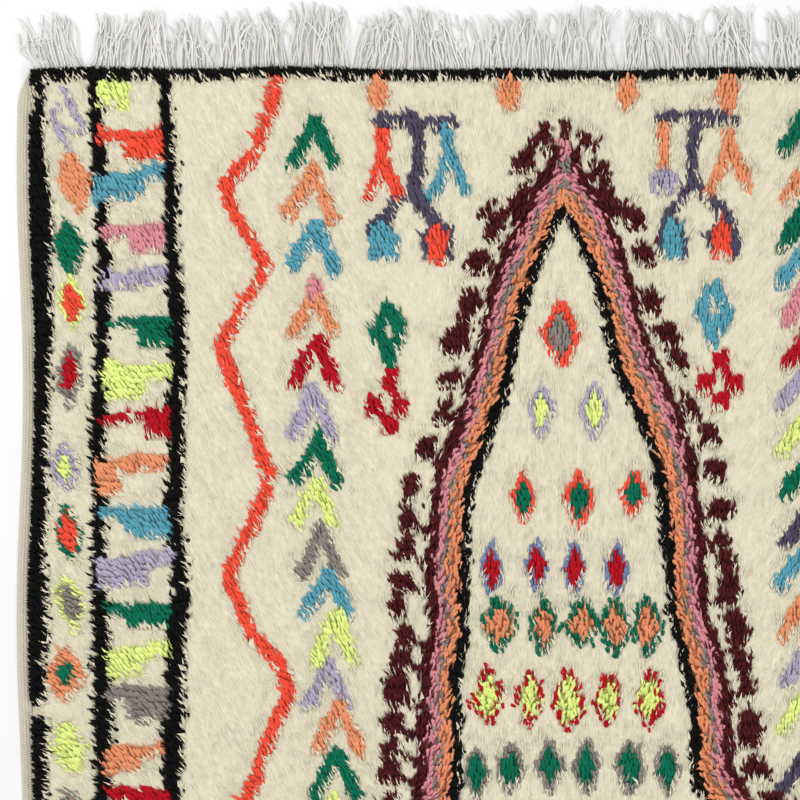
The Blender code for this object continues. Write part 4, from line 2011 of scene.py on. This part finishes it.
@dataclass(frozen=True)
class Fringe:
    """The warp ends at one end of the rug: twisted cotton ends in loose bunches, and a twined cord."""

    end: End
    strands: int = 520
    radius: float = 0.00130
    longest: float = 0.098
    rings: int = 11
    folded: float = 0.16  # share of the ends that turn back in a loop
    sides: int = 4
    bunch_size: tuple[int, int] = (9, 25)
    corner_leans: tuple[float, float] = (-0.42, 0.30)  # of the outermost bunches, in radians
    cord_radius: float = 0.0012
    cord_rings: int = 620
    cord_twist: float = 0.0075

    def roots(self, draw: np.random.Generator) -> tuple[Array, Array, Array]:
        """Places of the strands' roots, each strand's bunch, and each bunch's middle for that strand.

        Args:
            draw: source of random numbers.

        Returns:
            x, number of the bunch, and x of its middle.
        """
        left, right = (OUTLINE.corner(side, self.end)[0] for side in Side)
        spaced = (np.arange(self.strands) + 0.5 + draw.uniform(-0.3, 0.3, self.strands)) / self.strands
        x = left + 0.002 + (right - left - 0.004) * spaced
        sizes = draw.integers(*self.bunch_size, self.strands)
        bunch = np.searchsorted(np.cumsum(sizes), np.arange(self.strands), side="right")
        middle = np.bincount(bunch, x) / np.maximum(np.bincount(bunch), 1)
        return x, bunch, middle[bunch]

    def paths(self) -> tuple[Array, Array]:
        """Middle lines of the strands.

        A strand's heading turns along it: its bunch's lean, a pull to the bunch's middle that dies out
        and turns back, a slow wave of its own and a curl that grows with the square of the way. The
        line is the running sum of steps along that heading.

        Returns:
            Paths, strands by rings by x, y, z, and each strand's length.
        """
        draw = np.random.default_rng(70 + int(self.end))
        x, bunch, middle = self.roots(draw)
        count = self.strands
        leans = draw.normal(0, 0.15, bunch.max() + 1)
        leans[0], leans[-1] = self.corner_leans
        pulls = draw.uniform(0.0, 10.0, bunch.max() + 1)[bunch]
        length = self.longest * draw.uniform(0.80, 1.0, bunch.max() + 1)[bunch]
        length = length * draw.uniform(0.86, 1.04, count)
        way = np.linspace(0, 1, self.rings)
        pull = np.clip((middle - x) * pulls, -0.6, 0.6)[:, None] * np.cos(math.pi * 0.85 * way)
        wave = draw.uniform(0.10, 0.42, count)[:, None] * np.sin(
            TURN * draw.uniform(0.6, 1.5, count)[:, None] * way + draw.uniform(0, TURN, count)[:, None]
        )
        curl = draw.normal(0, 0.35, count)
        back = np.where(draw.uniform(0, 1, count) < self.folded, np.sign(curl) * 3.1, 0)
        fold = back[:, None] * ramp(way, 0.5, 0.86)
        lean = (leans[bunch] + draw.normal(0, 0.07, count))[:, None]
        aim = lean + pull + wave * (0.3 + way) + curl[:, None] * way**2 + fold
        step = (length / (self.rings - 1))[:, None]
        run_x = np.cumsum(np.sin(aim) * step, 1) - np.sin(aim[:, :1]) * step
        run_y = np.cumsum(np.cos(aim) * step, 1) - np.cos(aim[:, :1]) * step
        level = draw.uniform(0, 0.0060, count)[:, None] * ramp(way, 0.02, 0.3)
        settle = 0.0014 * (1 - ramp(way, 0.0, 0.5))
        root_y = OUTLINE.end(x, self.end) + self.end * (OUTLINE.gap + 0.0002)
        path = np.stack(
            [
                x[:, None] + run_x,
                root_y[:, None] + self.end * run_y,
                np.broadcast_to(self.radius + 0.0002 + level + settle, run_x.shape),
            ],
            -1,
        )
        limit = OUTLINE.width / 2 + 0.002
        path[..., 0] = np.clip(path[..., 0], -limit, limit)
        return path, length

    def build_strands(self, material: Material) -> Piece:
        """Builds the strands as one piece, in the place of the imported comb.

        Args:
            material: its finish.

        Returns:
            The piece.
        """
        paths, length = self.paths()
        taper = np.interp(np.linspace(0, 1, self.rings), [0, 0.85, 1], [1, 1, 0.7])
        draw = np.random.default_rng(90 + int(self.end))
        thick = self.radius * draw.uniform(0.8, 1.15, self.strands)
        vertices, triangles, corner = tubes(paths, thick[:, None] * taper, self.sides)
        name = f"warp_fringe_{self.end.name.lower()}"
        piece = new_piece(name, vertices, triangles, material)
        size = np.stack([np.full(self.strands, TURN * self.radius), length], 1)[:, None, None, :]
        start = draw.uniform(0, 4, (self.strands, 1, 1, 2))
        set_map(piece, LOCK_MAP, start + corner * size)
        tint = draw.uniform(0.86, 1.04, self.strands)
        set_number(piece, "tint", np.repeat(tint, self.rings * self.sides + 2))
        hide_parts(f"fringe_{self.end.name.lower()}")
        return piece

    def build_cord(self, material: Material) -> Piece:
        """Builds the twined cord that locks the warp ends: a two-lobed tube along the end of the pile.

        Args:
            material: its finish.

        Returns:
            The piece.
        """
        left, right = (OUTLINE.corner(side, self.end)[0] for side in Side)
        x = np.linspace(left + 0.003, right - 0.003, self.cord_rings)
        y = OUTLINE.end(x, self.end) + self.end * 0.0026
        path = np.stack([x, y, np.full_like(x, 0.0030)], 1)[None]
        sides = 6
        turn = TURN * np.arange(sides) / sides
        lobes = 1 + 0.28 * np.cos(2 * (turn[None, None, :] - TURN * x[None, :, None] / (2 * self.cord_twist)))
        radius = np.full((1, self.cord_rings), self.cord_radius)
        vertices, triangles, corner = tubes(path, radius, sides, lobes)
        name = f"twined_cord_{self.end.name.lower()}"
        piece = new_piece(name, vertices, triangles, material)
        set_map(piece, LOCK_MAP, corner * np.array([TURN * self.cord_radius, right - left]))
        set_number(piece, "tint", np.ones(len(vertices)))
        return piece


@dataclass(frozen=True)
class SideEdge:
    """A wrapped side edge: four cords of warp, side by side, bound with wool."""

    side: Side
    cords: int = 4
    thickness: float = 0.0044
    base: float = 0.0004
    spread: float = 1.35  # of its packed width, pressed flat
    rings: int = 300
    top_points: int = 17

    def build(self, material: Material) -> Piece:
        """Builds the edge: a closed ribbed profile carried along the cloth's side.

        Across the top, the height is a base plus a share of the thickness times the root of a half
        sine for each cord, less at both rims. The underside is flat.

        Args:
            material: its finish.

        Returns:
            The piece.
        """
        low, high = (OUTLINE.corner(self.side, end)[1] for end in End)
        y = np.linspace(low, high, self.rings)
        inner = OUTLINE.side(y, self.side) + self.side * OUTLINE.gap
        wide = self.spread * OUTLINE.edge_width(y, low, high)
        across = np.linspace(0, 1, self.top_points)
        rib = np.sqrt(np.abs(np.sin(math.pi * self.cords * across)))
        arch = np.sin(math.pi * (0.09 + 0.82 * across)) ** 0.5
        swell = 1 + wander(y, 0 * y, 0.045, 0.05, 33)
        top = self.base + self.thickness * (0.50 * arch + 0.30 * rib * arch) * swell[:, None]
        top[:, [0, -1]] = self.base + 0.0009
        under = across[::-4]
        share = np.concatenate([across, under])
        height = np.concatenate([top, np.full((self.rings, len(under)), self.base)], 1)
        x = inner[:, None] + self.side * wide[:, None] * share
        ring = np.stack([x, np.broadcast_to(y[:, None], x.shape), height], -1)
        if self.side is Side.LEFT:
            ring = ring[:, ::-1]
        points = ring.shape[1]
        ends = ring[[0, -1]].mean(1)
        vertices = np.concatenate([ring.reshape(-1, 3), ends])
        triangles = tube_faces(self.rings, points)
        name = f"wrapped_edge_{self.side.name.lower()}"
        piece = new_piece(name, vertices, triangles, material)
        flat = (vertices[:, :2] * np.array([self.side, 1.0]))[triangles]
        set_map(piece, LOCK_MAP, flat)
        # painted shade: the edge is darker in the grooves between its cords and on its underside
        painted_groove_shade = np.concatenate([0.86 + 0.14 * rib, np.full(len(under), 0.9)])
        painted_groove_shade = painted_groove_shade[::-1] if self.side is Side.LEFT else painted_groove_shade
        set_number(piece, "tint", np.concatenate([np.tile(painted_groove_shade, self.rings), [0.9, 0.9]]))
        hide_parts(f"side_edge_{self.side.name.lower()}")
        return piece


@dataclass(frozen=True)
class Studio:
    """Plain pale floor, soft light and the camera of the picture: a close look straight down."""

    frame_width: float = 1.120
    look_at: tuple[float, float] = (-0.229, 0.7225)
    lens: float = 200.0
    sensor: float = 36.0
    floor_half: float = 12.0
    world_strength: float = 0.66

    def floor(self) -> Piece:
        """Builds the floor: a square grid, a hair below the rug.

        Returns:
            The floor.
        """
        share = np.linspace(-self.floor_half, self.floor_half, 9)
        v, u = (grid.ravel() for grid in np.meshgrid(share, share, indexing="ij"))
        row, column = (grid.ravel() for grid in np.indices((8, 8)))
        corner = row * 9 + column
        quads = np.stack([corner, corner + 1, corner + 10, corner + 9], 1)
        mesh = bpy.data.meshes.new("studio_floor")
        mesh.from_pydata(np.stack([u, v, 0 * u - 0.0006], 1).tolist(), [], quads.tolist())
        material, _, shader = new_material("Pale studio floor")
        shader.inputs["Base Color"].default_value = (0.84, 0.84, 0.85, 1)
        shader.inputs["Roughness"].default_value = 0.9
        shader.inputs["Specular IOR Level"].default_value = 0.1
        mesh.materials.append(material)
        floor = bpy.data.objects.new("studio_floor", mesh)
        bpy.context.scene.collection.objects.link(floor)
        return floor

    def light(self) -> None:
        """Adds a white sky and two large soft lamps, the stronger one from the upper left."""
        world = bpy.data.worlds.new("Studio sky")
        world.use_nodes = True
        backdrop = world.node_tree.nodes["Background"]
        backdrop.inputs["Color"].default_value = (1.0, 1.0, 1.0, 1)
        backdrop.inputs["Strength"].default_value = self.world_strength
        bpy.context.scene.world = world
        for name, place, size, power in (
            ("key_lamp", (-2.6, 2.9, 3.6), 2.2, 106.0),
            ("fill_lamp", (3.0, -1.2, 3.8), 2.6, 87.0),
        ):
            data = bpy.data.lights.new(name, "AREA")
            data.shape = "SQUARE"
            data.size = size
            data.energy = power
            lamp = bpy.data.objects.new(name, data)
            lamp.location = place
            aim = np.array([0.0, 0.3, 0.0]) - np.array(place)
            lamp.rotation_euler = (
                math.acos(-aim[2] / np.linalg.norm(aim)),
                0.0,
                math.atan2(aim[1], aim[0]) - math.pi / 2,
            )
            lamp.visible_camera = False
            bpy.context.scene.collection.objects.link(lamp)

    def camera(self) -> None:
        """Adds the camera straight above the upper left of the rug, with a long lens."""
        data = bpy.data.cameras.new("camera")
        data.lens = self.lens
        data.sensor_width = self.sensor
        data.clip_end = 100.0
        camera = bpy.data.objects.new("camera", data)
        height = self.frame_width / 2 / (self.sensor / 2 / self.lens)
        camera.location = (*self.look_at, height)
        bpy.context.scene.collection.objects.link(camera)
        bpy.context.scene.camera = camera
        bpy.context.scene.view_settings.view_transform = "Standard"


PILE_FINISHES: dict[Pile, WoolFinish] = {
    Pile.FLEECE: WoolFinish(
        name="Matted fleece", spacing=0.0009, run=0.011, streak=0.05, clump=0.03, painted_shade=(0.93, 0.90, 0.84),
        patch=0.03, relief=0.0004, roughness=0.94, sheen=0.08, flat=0.85,
    ),
    Pile.FELT: WoolFinish(
        name="Felted dark wool", spacing=0.0008, run=0.009, streak=0.25, clump=0.30,
        painted_shade=(0.75, 0.72, 0.70), patch=0.05, relief=0.0008, roughness=0.90, sheen=0.02, flat=0.3,
    ),
    Pile.SPUN: WoolFinish(
        name="Soft spun strands", spacing=0.0008, run=0.012, streak=0.10, clump=0.06,
        painted_shade=(0.84, 0.80, 0.78), patch=0.03, relief=0.0005, roughness=0.88, sheen=0.05, flat=0.35,
    ),
    Pile.LOOPED: WoolFinish(
        name="Plump spun strands", spacing=0.0009, run=0.012, streak=0.11, clump=0.06,
        painted_shade=(0.80, 0.75, 0.73), patch=0.03, relief=0.0006, roughness=0.88, sheen=0.05, flat=0.25,
    ),
}

WARP_FINISH = YarnFinish(
    name="Cotton warp ends", colour=(0.955, 0.950, 0.930), shadow=(0.885, 0.875, 0.845), girth=0.0066,
    pitch=0.0042, plies=2.0, relief=0.0004, roughness=0.84, fuzz=0.06, flat=0.35,
)

EDGE_FINISH = YarnFinish(
    name="Wrapped edge wool", colour=(0.838, 0.808, 0.730), shadow=(0.735, 0.700, 0.615), girth=0.012,
    pitch=0.0036, plies=1.0, relief=0.0005, roughness=0.88, fuzz=0.10,
)


def report(pieces: Iterable[Piece]) -> None:
    """Logs the triangle count of each piece."""
    for piece in pieces:
        log.info("%s: %d triangles", piece.name, len(piece.data.polygons))


def main() -> None:
    """Builds the rug and the studio."""
    logging.basicConfig(level=logging.INFO, format="%(name)s %(message)s")
    studio = Studio()
    floor = studio.floor()
    studio.light()
    studio.camera()

    effects = Effects()
    ground = Ground()
    cloth = ground.build(GroundFinish().make(effects))
    finishes = {kind: finish.make(effects) for kind, finish in PILE_FINISHES.items()}
    shag = Shag(ground)
    with_cloth = [piece for kind in Pile for piece in shag.build(kind, finishes[kind])]
    with_cloth += Strays(ground, shag).build(finishes[Pile.FLEECE], finishes[Pile.FELT])
    edging = EDGE_FINISH.make(effects)
    with_cloth += [SideEdge(side).build(edging) for side in Side]
    warp = WARP_FINISH.make(effects)
    for end in End:
        fringe = Fringe(end)
        with_cloth += [fringe.build_strands(warp), fringe.build_cord(warp)]
    report([cloth, *with_cloth])


if __name__ == "__main__":
    main()
